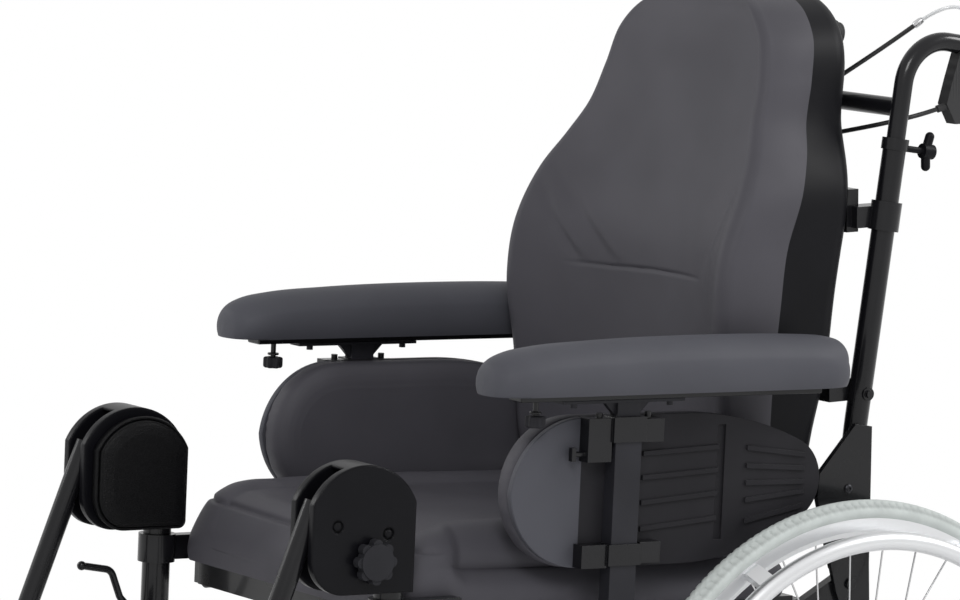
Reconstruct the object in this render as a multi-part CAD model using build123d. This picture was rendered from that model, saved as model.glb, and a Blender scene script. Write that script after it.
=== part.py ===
from build123d import *
import math
import os

# Tilt in space wheelchair. Millimetres, Z up, the chair faces -Y, its left side is +X.
# Everything is laid out with the rear axle over Y = 0 and the floor at Z = 0; the seat group is laid
# out level and then leaned back about the tilt pivot. The finished chair is centred over its base.

# ---- clearances ------------------------------------------------------------------------------------
pin_clearance = 0.05          # radial, on every shaft that turns or slides
face_clearance = 0.3          # between faces that pass each other

# ---- rear wheels -----------------------------------------------------------------------------------
wheel_radius = 295.0          # over the tyre
wheel_plane_x = 282.0         # tyre centre plane
tyre_section = 25.0
rim_width = 23.0
rim_wall = 2.0
rim_depth = 11.0              # rim bed down to its inner edge
rim_lip = 8.0                 # lip above the bed
rim_floor_width = 16.0
rim_shoulder = 6.0            # bevel between floor and side
hub_width = 40.4
hub_radius = 17.0
flange_radius = 24.0
flange_width = 3.0
flange_inset = 3.0            # hub end to flange
spoke_count = 36
spoke_radius = 1.0
spoke_cross_angle = 48.0      # head angle ahead of or behind its rim hole
spoke_head_radius = 21.0
handrim_radius = 257.0
handrim_section = 9.5
handrim_offset = 40.0         # from the tyre centre plane
handrim_tabs = 6
tab_width = 18.0
tab_wall = 5.0
axle_radius = 6.3
axle_cap_radius = 11.0
axle_cap_length = 8.0
axle_tail = 5.0               # axle end inboard of the receiver

# ---- chassis ---------------------------------------------------------------------------------------
chassis_x = 210.0
chassis_z = 262.0
chassis_tube = 14.0
tube_wall = 2.0
chassis_rear_y = 30.0
socket_depth = 75.0           # open rear end of the rail
socket_stop = 3.0
cross_front_y = -380.0
cross_rear_y = -62.0
receiver_radius = 12.5
receiver_length = 57.0
axle_plate_half = 35.0
axle_plate_wall = 10.0
axle_plate_top = 325.0
axle_plate_bottom = 240.0
saddle_half = 30.0
tower_x = 200.0
tower_wall = 8.0
tower_half = 80.0
tilt_head = 15.0
tilt_pin = 8.0

# ---- castors ---------------------------------------------------------------------------------------
castor_y = -430.0
castor_housing = 20.0
castor_housing_bottom = 215.0
castor_housing_top = 300.0
castor_stem = 6.0
castor_radius = 100.0
castor_width = 32.0
castor_hub_radius = 72.0
castor_hub_width = 38.0
castor_trail = 45.0
castor_axle = 5.0
fork_gap = 42.0
fork_wall = 5.0
fork_crown = 11.0
fork_boss = 14.0
fork_crown_front = 18.0
fork_crown_rear = 30.0

# ---- parking brakes --------------------------------------------------------------------------------
brake_y = -300.0
brake_z = 400.0
brake_pin = 5.0
brake_wall = 6.0
brake_x = 214.0
brake_shoe = 6.0
brake_gap = 12.0              # shoe to tyre with the brake off
brake_shoe_angle = 25.5       # shoe above the axle, seen from the side
brake_shoe_reach = 62.0
brake_lever_y = -348.0
brake_lever_z = 470.0
brake_lever_half = 8.0

# ---- seat frame, laid out level --------------------------------------------------------------------
seat_tilt = 3.0               # lean at rest, degrees
tilt_y = -190.0
tilt_z = 440.0
seat_x = 200.0
seat_z = 470.0
seat_tube = 12.5
seat_front_y = -500.0
seat_rear_y = 20.0
seat_cross_tube = 11.0
seat_cross_y = (-470.0, -190.0, 0.0)
tilt_lug_wall = 10.7
tilt_lug_half = 25.0
recline_y = 45.0
recline_z = 500.0
recline_pin = 6.0
recline_head = 14.0
recline_lug_wall = 12.0
board_x = 205.0
board_wall = 6.0
board_rear_y = -20.0
lip_drop = 27.0
lip_wall = 6.0

# ---- seat cushion ----------------------------------------------------------------------------------
cushion_gap = 0.3
cushion_sections = (          # y, half width: base, widest, shoulder; z: shoulder, bolster, middle
    (-521.0, 196.0, 203.0, 200.0, 500.0, 506.0, 508.0),
    (-512.0, 208.0, 216.0, 213.0, 518.0, 533.0, 532.0),
    (-500.0, 211.0, 220.0, 217.0, 530.0, 552.0, 549.0),
    (-480.0, 213.0, 222.0, 218.0, 538.0, 566.0, 562.0),
    (-458.0, 213.0, 222.0, 214.0, 540.0, 572.0, 566.0),
    (-436.0, 213.0, 221.0, 199.0, 534.0, 575.0, 568.0),
    (-330.0, 213.0, 221.0, 198.0, 532.0, 577.0, 567.0),
    (-180.0, 213.0, 221.0, 198.0, 531.0, 575.0, 564.0),
    (-80.0, 212.0, 221.0, 198.0, 530.0, 573.0, 565.0),
    (-48.0, 208.0, 217.0, 196.0, 528.0, 565.0, 561.0),
    (-35.0, 203.0, 209.0, 194.0, 524.0, 546.0, 545.0),
)
bolster_width = 52.0

# ---- armrests, laid out level ----------------------------------------------------------------------
post_x = 257.0
post_y = -282.0
post_width = 18.0             # across the chair
post_depth = 32.0             # along the chair
post_wall = 2.0
post_bottom = 450.0
post_top = 694.0
post_arm_half = 12.0
inner_post_bottom = 560.0
pad_bottom = 719.5
strip_wall = 7.5
strip_half = 12.0
strip_front = -418.0
strip_rear = -42.0
carrier_wall = 3.0
carrier_front = -365.0
carrier_rear = -215.0
carrier_half = 10.0
carrier_screws = (-346.0, -227.0)
carrier_screw_radius = 3.5
carrier_screw_length = 5.0
thumb_y = -392.0
thumb_shank = 3.0
thumb_washer = 6.0
thumb_knob = 10.5
thumb_drop = 27.0
pad_sections = (              # y, half width at the bottom, widest, shoulder z, top z
    (-455.0, 8.0, 11.0, 737.0, 742.0),
    (-452.0, 17.0, 21.0, 740.0, 750.0),
    (-444.0, 25.0, 29.5, 743.0, 757.0),
    (-428.0, 31.0, 35.5, 746.0, 763.0),
    (-400.0, 33.5, 37.5, 749.0, 767.5),
    (-330.0, 34.0, 37.5, 752.0, 772.0),
    (-200.0, 34.0, 37.5, 754.0, 775.0),
    (-66.0, 33.5, 37.5, 753.0, 773.0),
    (-36.0, 30.0, 34.5, 750.0, 770.5),
    (-19.0, 22.0, 26.5, 746.0, 766.0),
    (-11.0, 12.0, 16.0, 742.0, 757.0),
    (-8.0, 5.0, 8.0, 739.0, 745.0),
)

# ---- side guards, laid out level -------------------------------------------------------------------
guard_x = 240.0
guard_wall = 8.0
guard_front = -328.0
guard_mid_y = -200.0
guard_rear = -25.0
guard_top = 693.0
guard_bottom = 537.0
guard_mid_z = 615.0
rib_height = 2.5
rib_half = 2.5
front_ribs = (                # front z, rear z
    (653.0, 657.0),
    (628.0, 633.0),
    (602.0, 609.0),
    (575.0, 583.0),
)
rear_ribs = (
    (655.0, 645.0),
    (636.0, 631.0),
    (618.0, 617.0),
    (600.0, 607.0),
    (578.0, 592.0),
)
front_rib_y = (-252.0, -157.0)
rear_rib_y = (-121.0, -46.0)
slot_y = (-158.0, -148.0)
slot_z = (560.0, 680.0)
slot_depth = 3.0
side_pad_inner = 206.0
side_pad_front = -402.0
side_pad_shoulder = -324.0
cover_front = -413.0
cover_wall = 8.0
cover_out = 9.0
clamp_wall = 2.5

# ---- legrests, laid out level ----------------------------------------------------------------------
leg_x = 232.0
leg_post_y = -543.0
leg_post = 15.0
leg_post_bottom = 415.0
leg_spigot = 10.0
leg_spigot_length = 45.0
collar_radius = 20.0
collar_bottom = 484.0
collar_top = 514.0
hanger_rear = -460.0
hanger_front = -490.0
hanger_width = 16.0
hanger_trim = 2.0             # hanger arm below the collar's top and above its bottom
knee_y = -590.5
knee_z = 587.0
knee_top = 66.0               # pivot to the crown
knee_arch = 6.0               # crown's radius over half the width
knee_front = 57.0             # pivot to the straight front edge
knee_back = 63.0
knee_drop = 64.0              # pivot to the underside
knee_toe = 38.0               # round at the lower front corner
knee_cap = 3.5                # roof over the slot
knee_cap_front = 18.0         # roof's front edge ahead of the pivot
knee_wall = 9.0
knee_gap = 25.0
knee_spine = 41.0
knee_pin = 6.0
knee_pad_wall = 20.0
knee_pad_front = 9.0          # shell edge to pad edge
knee_pad_edge = 1.0           # the same at the back and below
knob_y = -578.0
knob_z = 556.5
knob_core = 18.5
knob_lobe = 5.5
knob_lobe_circle = 17.5
knob_lobes = 8
knob_wall = 11.0
knob_stand = 2.5
knob_stud = 4.0
knee_screws = ((-618.5, 592.0), (-559.0, 583.0))
knee_recess = 6.5
knee_screw = 4.2
knee_screw_depth = 3.0
leg_lean = 20.5
leg_offset = 50.0             # tube in front of the knee pivot
leg_tube = 11.0
leg_tube_wall = 1.5
leg_tube_top = 11.0
leg_tube_length = 360.0       # below the knee pivot
leg_eye = 14.0
leg_eye_width = 12.0
lower_leg_top = 250.0
foot_drop = 565.0             # knee pivot to footplate hinge
foot_bar = 7.0
foot_bar_length = 110.0
foot_knuckle = 11.0
foot_knuckle_length = 40.0
foot_pitch = 13.5
foot_width = 150.0
foot_length = 165.0
foot_wall = 8.0
foot_below = 12.0
foot_forward = 25.0           # plate centre ahead of the hinge
calf_drop = 215.0
calf_ring = 15.0
calf_ring_height = 24.0
calf_width = 118.0
calf_height = 95.0
calf_wall = 27.0
calf_set_back = 16.0
lever_rod = 5.0               # ball at the tip; the bar is thinner
lever_bar = 3.9
lever_wall = 8.6
lever_eye = 7.0
lever_pin = 3.0

# ---- back, laid out as it stands at rest -----------------------------------------------------------
back_x = 200.0
back_tube = 12.5
back_points = ((50.5, 508.0), (66.0, 650.0), (116.5, 955.0))
back_bend = 400.0
back_ring = 14.5
back_ring_length = 11.0
push_tube = 10.0
push_wall = 1.5
push_depth = 150.0            # insert left inside the back tube
push_rise = 110.6             # back tube's mouth to the bend's corner
push_bend = 50.0
push_slope = 10.0             # grips fall towards the rear
push_length = 200.0
crossbar_rise = 34.0          # above the back tube's top end
grip_radius = 16.0
grip_start = 92.0
grip_length = 105.0
port_radius = 4.0
port_length = 12.0
hinge_plate = 5.5
back_bar = 8.0
back_bar_y = 62.0
back_bar_z = 446.0
shell_wall = 4.0
shell_gap = 0.4
# z, half width, wing front y, middle front y, rim y (cushion meets shell), shell rear y
back_sections = (
    (580.0, 196.0, -92.0, -80.0, -46.0, 4.0),
    (600.0, 201.0, -100.0, -84.0, -47.0, 10.0),
    (650.0, 203.0, -105.0, -78.0, -46.0, 20.0),
    (703.0, 205.0, -107.0, -72.0, -44.0, 33.0),
    (787.0, 210.0, -113.0, -64.0, -38.0, 42.0),
    (844.0, 207.0, -105.0, -58.0, -28.0, 54.0),
    (904.0, 199.0, -76.0, -42.0, -2.0, 68.0),
    (942.0, 181.0, -52.0, -32.0, 16.0, 77.0),
    (976.0, 163.0, -35.0, -23.0, 28.0, 85.0),
    (1018.0, 153.0, -20.0, -12.0, 42.0, 96.0),
    (1060.0, 139.0, -10.0, -4.0, 54.0, 103.0),
    (1086.0, 113.0, -1.0, 3.0, 62.0, 105.0),
    (1101.0, 78.0, 12.0, 14.0, 69.0, 104.0),
    (1109.0, 40.0, 28.0, 30.0, 76.0, 101.0),
)
shell_inset = 3.0

# ---- gas springs -----------------------------------------------------------------------------------
spring_radius = 13.0
spring_rod = 5.0
spring_eye = 9.0
spring_eye_width = 15.0
spring_neck = 7.0
spring_neck_length = 15.0
spring_pin = 3.0
spring_play = 2.6             # bore over pin at the upper eyes, which is left open in the motion model
spring_side_gap = 1.0         # eye to each ear
clevis_wall = 3.5
tilt_spring_base = (-376.0, 288.0)
tilt_spring_end = (-462.0, 446.0)     # level layout
tilt_spring_body = 140.0
tilt_spring_reach = 165.0
recline_spring_x = 60.0
recline_spring_base = (-188.0, 432.0)
recline_spring_end = (60.0, 424.0)
recline_spring_body = 165.0
recline_spring_reach = 120.0

# ---- release cables --------------------------------------------------------------------------------
cable_radius = 2.5
wire_radius = 1.3
ferrule_radius = 3.6


# ---- small builders --------------------------------------------------------------------------------
def box(x0, x1, y0, y1, z0, z1):
    """Block between two corners."""
    block = Box(abs(x1 - x0), abs(y1 - y0), abs(z1 - z0))
    return Pos((x0 + x1) / 2, (y0 + y1) / 2, (z0 + z1) / 2) * block


def rod(p, q, radius):
    """Round bar from point p to point q."""
    run = Vector(*q) - Vector(*p)
    bar = Cylinder(radius, run.length, align=(Align.CENTER, Align.CENTER, Align.MIN))
    return Plane(origin=Vector(*p), z_dir=run) * bar


def cross_rod(x0, x1, y, z, radius):
    """Round bar along the chair's width."""
    return rod((x0, y, z), (x1, y, z), radius)


def pipe(p, q, radius, wall):
    """Hollow round tube from point p to point q."""
    return rod(p, q, radius) - rod(p, q, radius - wall)


def side_plate(points, x0, x1):
    """Plate whose outline is given in (y, z), between two x planes."""
    outline = Plane.YZ.offset(min(x0, x1)) * Polygon(*points, align=None)
    return extrude(outline, abs(x1 - x0), dir=(1, 0, 0))


def front_plate(points, y0, y1):
    """Plate whose outline is given in (x, z), between two y planes."""
    plane = Plane(origin=(0, min(y0, y1), 0), x_dir=(1, 0, 0), z_dir=(0, -1, 0))
    return extrude(plane * Polygon(*points, align=None), abs(y1 - y0), dir=(0, 1, 0))


def turned(sketch):
    """Profile in (along the axle, radius) turned about the axle."""
    return revolve(sketch, axis=Axis.X)


def bent(points, bends, radius, bore=0.0):
    """Round bar or tube along straight runs joined by tangent arcs."""
    path = FilletPolyline(*points, radius=bends)
    start = Plane(origin=path @ 0, z_dir=path % 0)
    section = start * Circle(radius)
    if bore:
        section -= start * Circle(bore)
    return sweep(section, path=path)


def group(*parts):
    """Separate solids kept side by side in one piece."""
    return Compound([solid for part in parts for solid in part.solids()])


def mirrored(part):
    """The right-hand twin of a left-hand piece."""
    return mirror(part, about=Plane.YZ)


def pair(part):
    """Left and right copies."""
    return group(part, mirrored(part))


def leaned(part):
    """Carry a piece from the level layout to the seat's resting lean."""
    return Pos(0, tilt_y, tilt_z) * Rot(-seat_tilt, 0, 0) * Pos(0, -tilt_y, -tilt_z) * part


def lean_point(y, z):
    """Resting place of a point given in the level layout."""
    c = math.cos(math.radians(seat_tilt))
    s = math.sin(math.radians(seat_tilt))
    dy = y - tilt_y
    dz = z - tilt_z
    return (tilt_y + dy * c + dz * s, tilt_z - dy * s + dz * c)


# ---- rear wheels -----------------------------------------------------------------------------------
rim_half = rim_width / 2
tyre_half = tyre_section / 2
tyre_centre = wheel_radius - tyre_half
rim_bed_radius = tyre_centre - tyre_half - 1.0
rim_inner_radius = rim_bed_radius - rim_depth
wheel_inner_x = wheel_plane_x - hub_width / 2
wheel_outer_x = wheel_plane_x + hub_width / 2


def rim_sketch():
    """Double-sided channel that holds the tyre's beads."""
    floor = rim_floor_width / 2
    bead = rim_half - rim_wall
    lip = rim_bed_radius + rim_lip
    shoulder = rim_inner_radius + rim_shoulder
    points = (
        (-floor, rim_inner_radius),
        (floor, rim_inner_radius),
        (rim_half, shoulder),
        (rim_half, lip),
        (bead, lip),
        (bead, rim_bed_radius),
        (-bead, rim_bed_radius),
        (-bead, lip),
        (-rim_half, lip),
        (-rim_half, shoulder),
    )
    return Polygon(*points, align=None)


def tyre():
    """Round tyre seated in the rim channel."""
    bead = rim_half - rim_wall
    rise = tyre_centre - rim_bed_radius
    foot = Pos(0, rim_bed_radius + rise / 2) * Rectangle(2 * bead, rise)
    body = Pos(0, tyre_centre) * Circle(tyre_half) + foot
    below = Pos(0, rim_bed_radius / 2) * Rectangle(4 * rim_width, rim_bed_radius)
    return turned(body - rim_sketch() - below)


def rim():
    """Alloy rim."""
    return turned(rim_sketch())


def spoke(index):
    """One straight spoke from a hub flange to its rim hole."""
    outer = index % 2 == 0
    leading = (index // 2) % 2 == 0
    hole = 2 * math.pi * index / spoke_count
    cross = math.radians(spoke_cross_angle) * (1 if leading else -1)
    flange = hub_width / 2 - flange_inset - flange_width / 2
    stand = (flange_width / 2 + 0.6 * spoke_radius) * (1 if leading else -1)
    u = (flange + stand) * (1 if outer else -1)
    head = (u, -spoke_head_radius * math.sin(hole + cross), spoke_head_radius * math.cos(hole + cross))
    reach = rim_inner_radius - 0.1
    tip = (0.0, -reach * math.sin(hole), reach * math.cos(hole))
    return rod(head, tip, spoke_radius)


def hub():
    """Hub shell with two flanges, its bore and the laced spokes."""
    half = hub_width / 2
    body = cross_rod(-half, half, 0, 0, hub_radius)
    for side in (-1, 1):
        inner = side * (half - flange_inset - flange_width)
        outer = side * (half - flange_inset)
        body += cross_rod(inner, outer, 0, 0, flange_radius)
    body += [spoke(index) for index in range(spoke_count)]
    return body - cross_rod(-half, half, 0, 0, axle_radius + pin_clearance)


def handrim():
    """Push rim with its mounting tabs."""
    ring = Pos(handrim_offset, 0, 0) * Rot(0, 90, 0) * Torus(handrim_radius, handrim_section)
    seat = rim_inner_radius + rim_shoulder + 2.0
    low = handrim_radius - handrim_section / 2
    points = (
        (rim_half, seat),
        (rim_half, seat + 9.0),
        (rim_half + tab_wall, seat + 9.0),
        (handrim_offset, handrim_radius + handrim_section / 3),
        (handrim_offset - handrim_section / 2, low),
    )
    tab = front_plate(points, -tab_width / 2, tab_width / 2)
    tabs = [Rot(360.0 * k / handrim_tabs + 30.0, 0, 0) * tab for k in range(handrim_tabs)]
    return ring + tabs


def at_wheel(part):
    """Carry a wheel piece to the left rear axle."""
    return Pos(wheel_plane_x, 0, wheel_radius) * part


receiver_outer = wheel_inner_x - face_clearance
receiver_inner = receiver_outer - receiver_length


def quick_release_axle():
    """Pull-out axle with its button cap."""
    cap = wheel_outer_x + face_clearance
    shaft = cross_rod(receiver_inner - axle_tail, cap + axle_cap_length, 0, wheel_radius, axle_radius)
    return shaft + cross_rod(cap, cap + axle_cap_length, 0, wheel_radius, axle_cap_radius)


def axle_mount():
    """Axle plate with its tube saddle and the receiver sleeve."""
    plate_x = chassis_x + chassis_tube
    half = axle_plate_half
    plate = box(plate_x, plate_x + axle_plate_wall, -half, half, axle_plate_bottom, axle_plate_top)
    inner = chassis_x - chassis_tube
    saddle = box(inner, plate_x, -saddle_half, chassis_rear_y, chassis_z, wheel_radius)
    sleeve = cross_rod(receiver_inner, receiver_outer, 0, wheel_radius, receiver_radius)
    body = plate + saddle + sleeve
    body -= rod((chassis_x, -200, chassis_z), (chassis_x, 200, chassis_z), chassis_tube)
    bore = axle_radius + pin_clearance
    return body - cross_rod(inner - 10, receiver_outer, 0, wheel_radius, bore)


# ---- chassis ---------------------------------------------------------------------------------------
fork_top = castor_housing_bottom - face_clearance


def side_frame():
    """Lower rail with castor housing, tilt tower and brake bracket."""
    front = (chassis_x, castor_y, chassis_z)
    rear = (chassis_x, chassis_rear_y, chassis_z)
    top = (chassis_x, castor_y, castor_housing_top)
    bottom = (chassis_x, castor_y, castor_housing_bottom)
    body = pipe(front, rear, chassis_tube, tube_wall) + rod(bottom, top, castor_housing)
    stop = chassis_rear_y - socket_depth
    body += rod((chassis_x, stop - socket_stop, chassis_z), (chassis_x, stop, chassis_z), chassis_tube - 1.0)
    base = chassis_z
    tower = (
        (tilt_y - tower_half, base),
        (tilt_y + tower_half, base),
        (tilt_y + tilt_head, tilt_z),
        (tilt_y - tilt_head, tilt_z),
    )
    body += side_plate(tower, tower_x, tower_x + tower_wall)
    body += cross_rod(tower_x, tower_x + tower_wall, tilt_y, tilt_z, tilt_head)
    inner = tower_x - face_clearance - tilt_lug_wall - 3.0
    body += cross_rod(inner, tower_x + tower_wall, tilt_y, tilt_z, tilt_pin)
    bracket = (
        (brake_y - 26.0, chassis_z),
        (brake_y + 14.0, chassis_z),
        (brake_y + 10.0, brake_z + 9.0),
        (brake_y - 10.0, brake_z + 9.0),
    )
    body += side_plate(bracket, brake_x, brake_x + brake_wall)
    pin_end = brake_x + 2 * brake_wall + 4.0
    body += cross_rod(brake_x, pin_end, brake_y, brake_z, brake_pin)
    stem = castor_stem + pin_clearance
    return body - rod((chassis_x, castor_y, 0), (chassis_x, castor_y, castor_housing_top), stem)


def chassis_cross_tube(y):
    """Cross tube whose ends are cut round the two rails."""
    bar = cross_rod(-chassis_x, chassis_x, y, chassis_z, chassis_tube)
    bar -= cross_rod(-chassis_x, chassis_x, y, chassis_z, chassis_tube - tube_wall)
    for side in (-1, 1):
        x = side * chassis_x
        bar -= rod((x, castor_y, chassis_z), (x, chassis_rear_y + 50, chassis_z), chassis_tube)
    return bar.solids().sort_by(lambda s: s.volume)[-1]


def clevis(x, y0, z0, y1, z1, cut):
    """Two ear plates from a tube at (y0, z0) to a pin at (y1, z1), cut round the tube."""
    run = Vector(0, y1 - y0, z1 - z0).normalized()
    across = Vector(0, -run.Z, run.Y) * spring_eye
    tip = Vector(0, y1, z1) + run * spring_eye
    points = (
        (y0 + across.Y, z0 + across.Z),
        (tip.Y + across.Y, tip.Z + across.Z),
        (tip.Y - across.Y, tip.Z - across.Z),
        (y0 - across.Y, z0 - across.Z),
    )
    gap = spring_eye_width / 2 + spring_side_gap
    far = gap + clevis_wall
    body = cross_rod(x - far, x + far, y1, z1, spring_pin)
    for side in (-1, 1):
        ear = side_plate(points, x + side * gap, x + side * far) - cut
        body += ear.solids().sort_by(lambda s: s.volume)[-1]
    return body


def chassis_frame():
    """Both side frames, the cross tubes and the gas spring's ears."""
    y, z = tilt_spring_base
    front = cross_rod(-chassis_x, chassis_x, cross_front_y, chassis_z, chassis_tube)
    side = side_frame()
    return group(
        side,
        mirrored(side),
        chassis_cross_tube(cross_front_y),
        chassis_cross_tube(cross_rear_y),
        clevis(0.0, cross_front_y, chassis_z, y, z, front),
    )


# ---- castors ---------------------------------------------------------------------------------------
castor_wheel_y = castor_y + castor_trail


def castor_fork():
    """Fork with its stem and the wheel's axle."""
    gap = fork_gap / 2
    wide = gap + fork_wall
    body = rod((chassis_x, castor_y, fork_top - fork_crown), (chassis_x, castor_y, castor_housing_top),
               castor_stem)
    front = castor_y - fork_crown_front
    rear = castor_y + fork_crown_rear
    body += box(chassis_x - wide, chassis_x + wide, front, rear, fork_top - fork_crown, fork_top)
    points = (
        (front, fork_top),
        (rear, fork_top),
        (castor_wheel_y + fork_boss, castor_radius),
        (castor_wheel_y, castor_radius - fork_boss),
        (castor_wheel_y - fork_boss, castor_radius),
    )
    for side in (-1, 1):
        near = chassis_x + side * gap
        far = chassis_x + side * wide
        body += side_plate(points, near, far)
    return body + cross_rod(chassis_x - wide, chassis_x + wide, castor_wheel_y, castor_radius, castor_axle)


def castor_wheel():
    """Moulded hub with its solid tyre."""
    y = castor_wheel_y
    z = castor_radius
    half = castor_hub_width / 2
    hub_body = cross_rod(chassis_x - half, chassis_x + half, y, z, 2.2 * fork_boss)
    web = castor_width / 2 - 7.0
    hub_body += cross_rod(chassis_x - web, chassis_x + web, y, z, castor_hub_radius)
    hub_body -= cross_rod(chassis_x - half, chassis_x + half, y, z, castor_axle + pin_clearance)
    w = castor_width / 2
    inner = castor_hub_radius
    shoulder = castor_radius - 9.0
    points = (
        (-web, inner),
        (web, inner),
        (w, inner + 8.0),
        (w, shoulder),
        (w - 8.0, castor_radius),
        (8.0 - w, castor_radius),
        (-w, shoulder),
        (-w, inner + 8.0),
    )
    ring = Pos(chassis_x, y, z) * turned(Polygon(*points, align=None))
    return group(hub_body, ring)


# ---- parking brakes --------------------------------------------------------------------------------
def brake_lever():
    """Flat lever with a round shoe bar in front of the tyre and a hand grip."""
    x0 = brake_x + brake_wall + face_clearance
    x1 = x0 + brake_wall
    reach = wheel_radius + brake_gap + brake_shoe
    angle = math.radians(brake_shoe_angle)
    shoe_y = -reach * math.cos(angle)
    shoe_z = wheel_radius + reach * math.sin(angle)
    half = brake_lever_half
    grip = 10.0
    points = (
        (brake_y - half, brake_z - half),
        (brake_y + half, brake_z - half),
        (shoe_y + half, shoe_z),
        (shoe_y, shoe_z + half),
        (brake_y, brake_z + 2.5 * half),
        (brake_lever_y + half, brake_lever_z),
        (brake_lever_y - half, brake_lever_z),
    )
    body = side_plate(points, x0, x1)
    body += cross_rod(x0, wheel_plane_x + tyre_half + brake_shoe / 2, shoe_y, shoe_z, brake_shoe)
    start = (x0 + brake_wall / 2, brake_lever_y + half / 2, brake_lever_z - 12.0)
    end = (x0 + 2 * brake_wall, brake_lever_y - half / 2, brake_lever_z + 18.0)
    body += rod(start, end, grip / 1.4)
    return body - cross_rod(x0 - 5, x1 + 20, brake_y, brake_z, brake_pin + pin_clearance)


# ---- seat frame ------------------------------------------------------------------------------------
def seat_rail():
    """Seat rail with tilt lug, recline lug, recline pin and legrest hanger."""
    body = pipe((seat_x, seat_front_y, seat_z), (seat_x, seat_rear_y, seat_z), seat_tube, tube_wall)
    lug_outer = tower_x - face_clearance
    lug_inner = lug_outer - tilt_lug_wall
    lug = (
        (tilt_y - tilt_lug_half, seat_z),
        (tilt_y + tilt_lug_half, seat_z),
        (tilt_y + tilt_head, tilt_z),
        (tilt_y - tilt_head, tilt_z),
    )
    body += side_plate(lug, lug_inner, lug_outer)
    body += cross_rod(lug_inner, lug_outer, tilt_y, tilt_z, tilt_head)
    lug_end = seat_x + seat_tube - 0.1
    ear = (
        (seat_rear_y - 34.0, seat_z),
        (seat_rear_y, seat_z - 4.0),
        (recline_y + 8.0, recline_z - 11.5),
        (recline_y - 4.0, recline_z + 13.0),
        (seat_rear_y - 34.0, seat_z + 12.0),
    )
    body += side_plate(ear, lug_end - recline_lug_wall, lug_end)
    body += cross_rod(lug_end - recline_lug_wall, lug_end, recline_y, recline_z, recline_head)
    pin_end = lug_end + face_clearance + hinge_plate + 3.0
    body += cross_rod(lug_end - recline_lug_wall, pin_end, recline_y, recline_z, recline_pin)
    inner = leg_x - hanger_width / 2
    outer = leg_x + hanger_width / 2
    low = seat_z - seat_tube
    body += box(seat_x + seat_tube - 1.5, outer, hanger_front, hanger_rear, low, seat_z + seat_tube)
    body += box(inner, outer, hanger_front, hanger_rear, low, collar_top - hanger_trim)
    body += box(inner, outer, leg_post_y, hanger_rear, collar_bottom + hanger_trim, collar_top - hanger_trim)
    body += rod((leg_x, leg_post_y, collar_bottom), (leg_x, leg_post_y, collar_top), collar_radius)
    bore = leg_post + pin_clearance
    body -= rod((leg_x, leg_post_y, collar_bottom), (leg_x, leg_post_y, collar_top), bore)
    return body - cross_rod(lug_inner, lug_outer, tilt_y, tilt_z, tilt_pin + pin_clearance)


def seat_cross_tube_at(y):
    """Cross tube between the seat rails, cut round them."""
    bar = cross_rod(-seat_x, seat_x, y, seat_z, seat_cross_tube)
    for side in (-1, 1):
        x = side * seat_x
        bar -= rod((x, seat_front_y - 50, seat_z), (x, seat_rear_y + 50, seat_z), seat_tube)
        bar -= box(side * (tower_x - 20), side * (tower_x + 40), y - 60, y + 60, 0, seat_z - seat_tube)
    return bar.solids().sort_by(lambda s: s.volume)[-1]


def level_point(y, z):
    """Level-layout place of a point given as it stands at rest."""
    c = math.cos(math.radians(seat_tilt))
    s = math.sin(math.radians(seat_tilt))
    dy = y - tilt_y
    dz = z - tilt_z
    return (tilt_y + dy * c - dz * s, tilt_z + dy * s + dz * c)


def seat_frame():
    """Both seat rails, the cross tubes and the gas springs' ears."""
    side = seat_rail()
    bars = [seat_cross_tube_at(y) for y in seat_cross_y]
    front_y, middle_y = seat_cross_y[0], seat_cross_y[1]
    front = cross_rod(-seat_x, seat_x, front_y, seat_z, seat_cross_tube)
    middle = cross_rod(-seat_x, seat_x, middle_y, seat_z, seat_cross_tube)
    end_y, end_z = tilt_spring_end
    front_ears = clevis(0.0, front_y, seat_z, end_y, end_z, front)
    base_y, base_z = level_point(*recline_spring_base)
    middle_ears = clevis(recline_spring_x, middle_y, seat_z, base_y, base_z, middle)
    return group(side, mirrored(side), *[Part() + bar for bar in bars], front_ears, middle_ears)


def seat_board():
    """Flat seat plate with a turned-down front lip."""
    low = seat_z + seat_tube
    top = low + board_wall
    front = seat_front_y - lip_wall
    plate = box(-board_x, board_x, seat_front_y, board_rear_y, low, top)
    return plate + box(-board_x, board_x, front, seat_front_y, top - lip_drop, top)


cushion_bottom = seat_z + seat_tube + board_wall + cushion_gap


def cushion_face(y, base, wide, top, shoulder, bolster, middle):
    """Cross-section of the seat cushion: flat base, bowed sides, two bolsters and a dished middle."""
    z0 = cushion_bottom
    inner = top - bolster_width
    valley = middle + 0.35 * (bolster - middle)
    crest = top - 0.36 * bolster_width
    mid_z = (z0 + shoulder) / 2
    plane = Plane(origin=(0, y, 0), x_dir=(1, 0, 0), z_dir=(0, -1, 0))
    edges = [
        Line((-base, z0), (base, z0)),
        ThreePointArc((base, z0), (wide, mid_z), (top, shoulder)),
        ThreePointArc((top, shoulder), (crest, bolster), (inner, valley)),
        ThreePointArc((inner, valley), (0, middle), (-inner, valley)),
        ThreePointArc((-inner, valley), (-crest, bolster), (-top, shoulder)),
        ThreePointArc((-top, shoulder), (-wide, mid_z), (-base, z0)),
    ]
    return plane * make_face(edges)


def seat_cushion():
    """Upholstered cushion with a rolled front, thigh bolsters and a dished middle."""
    return loft([cushion_face(*row) for row in cushion_sections])


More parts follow.
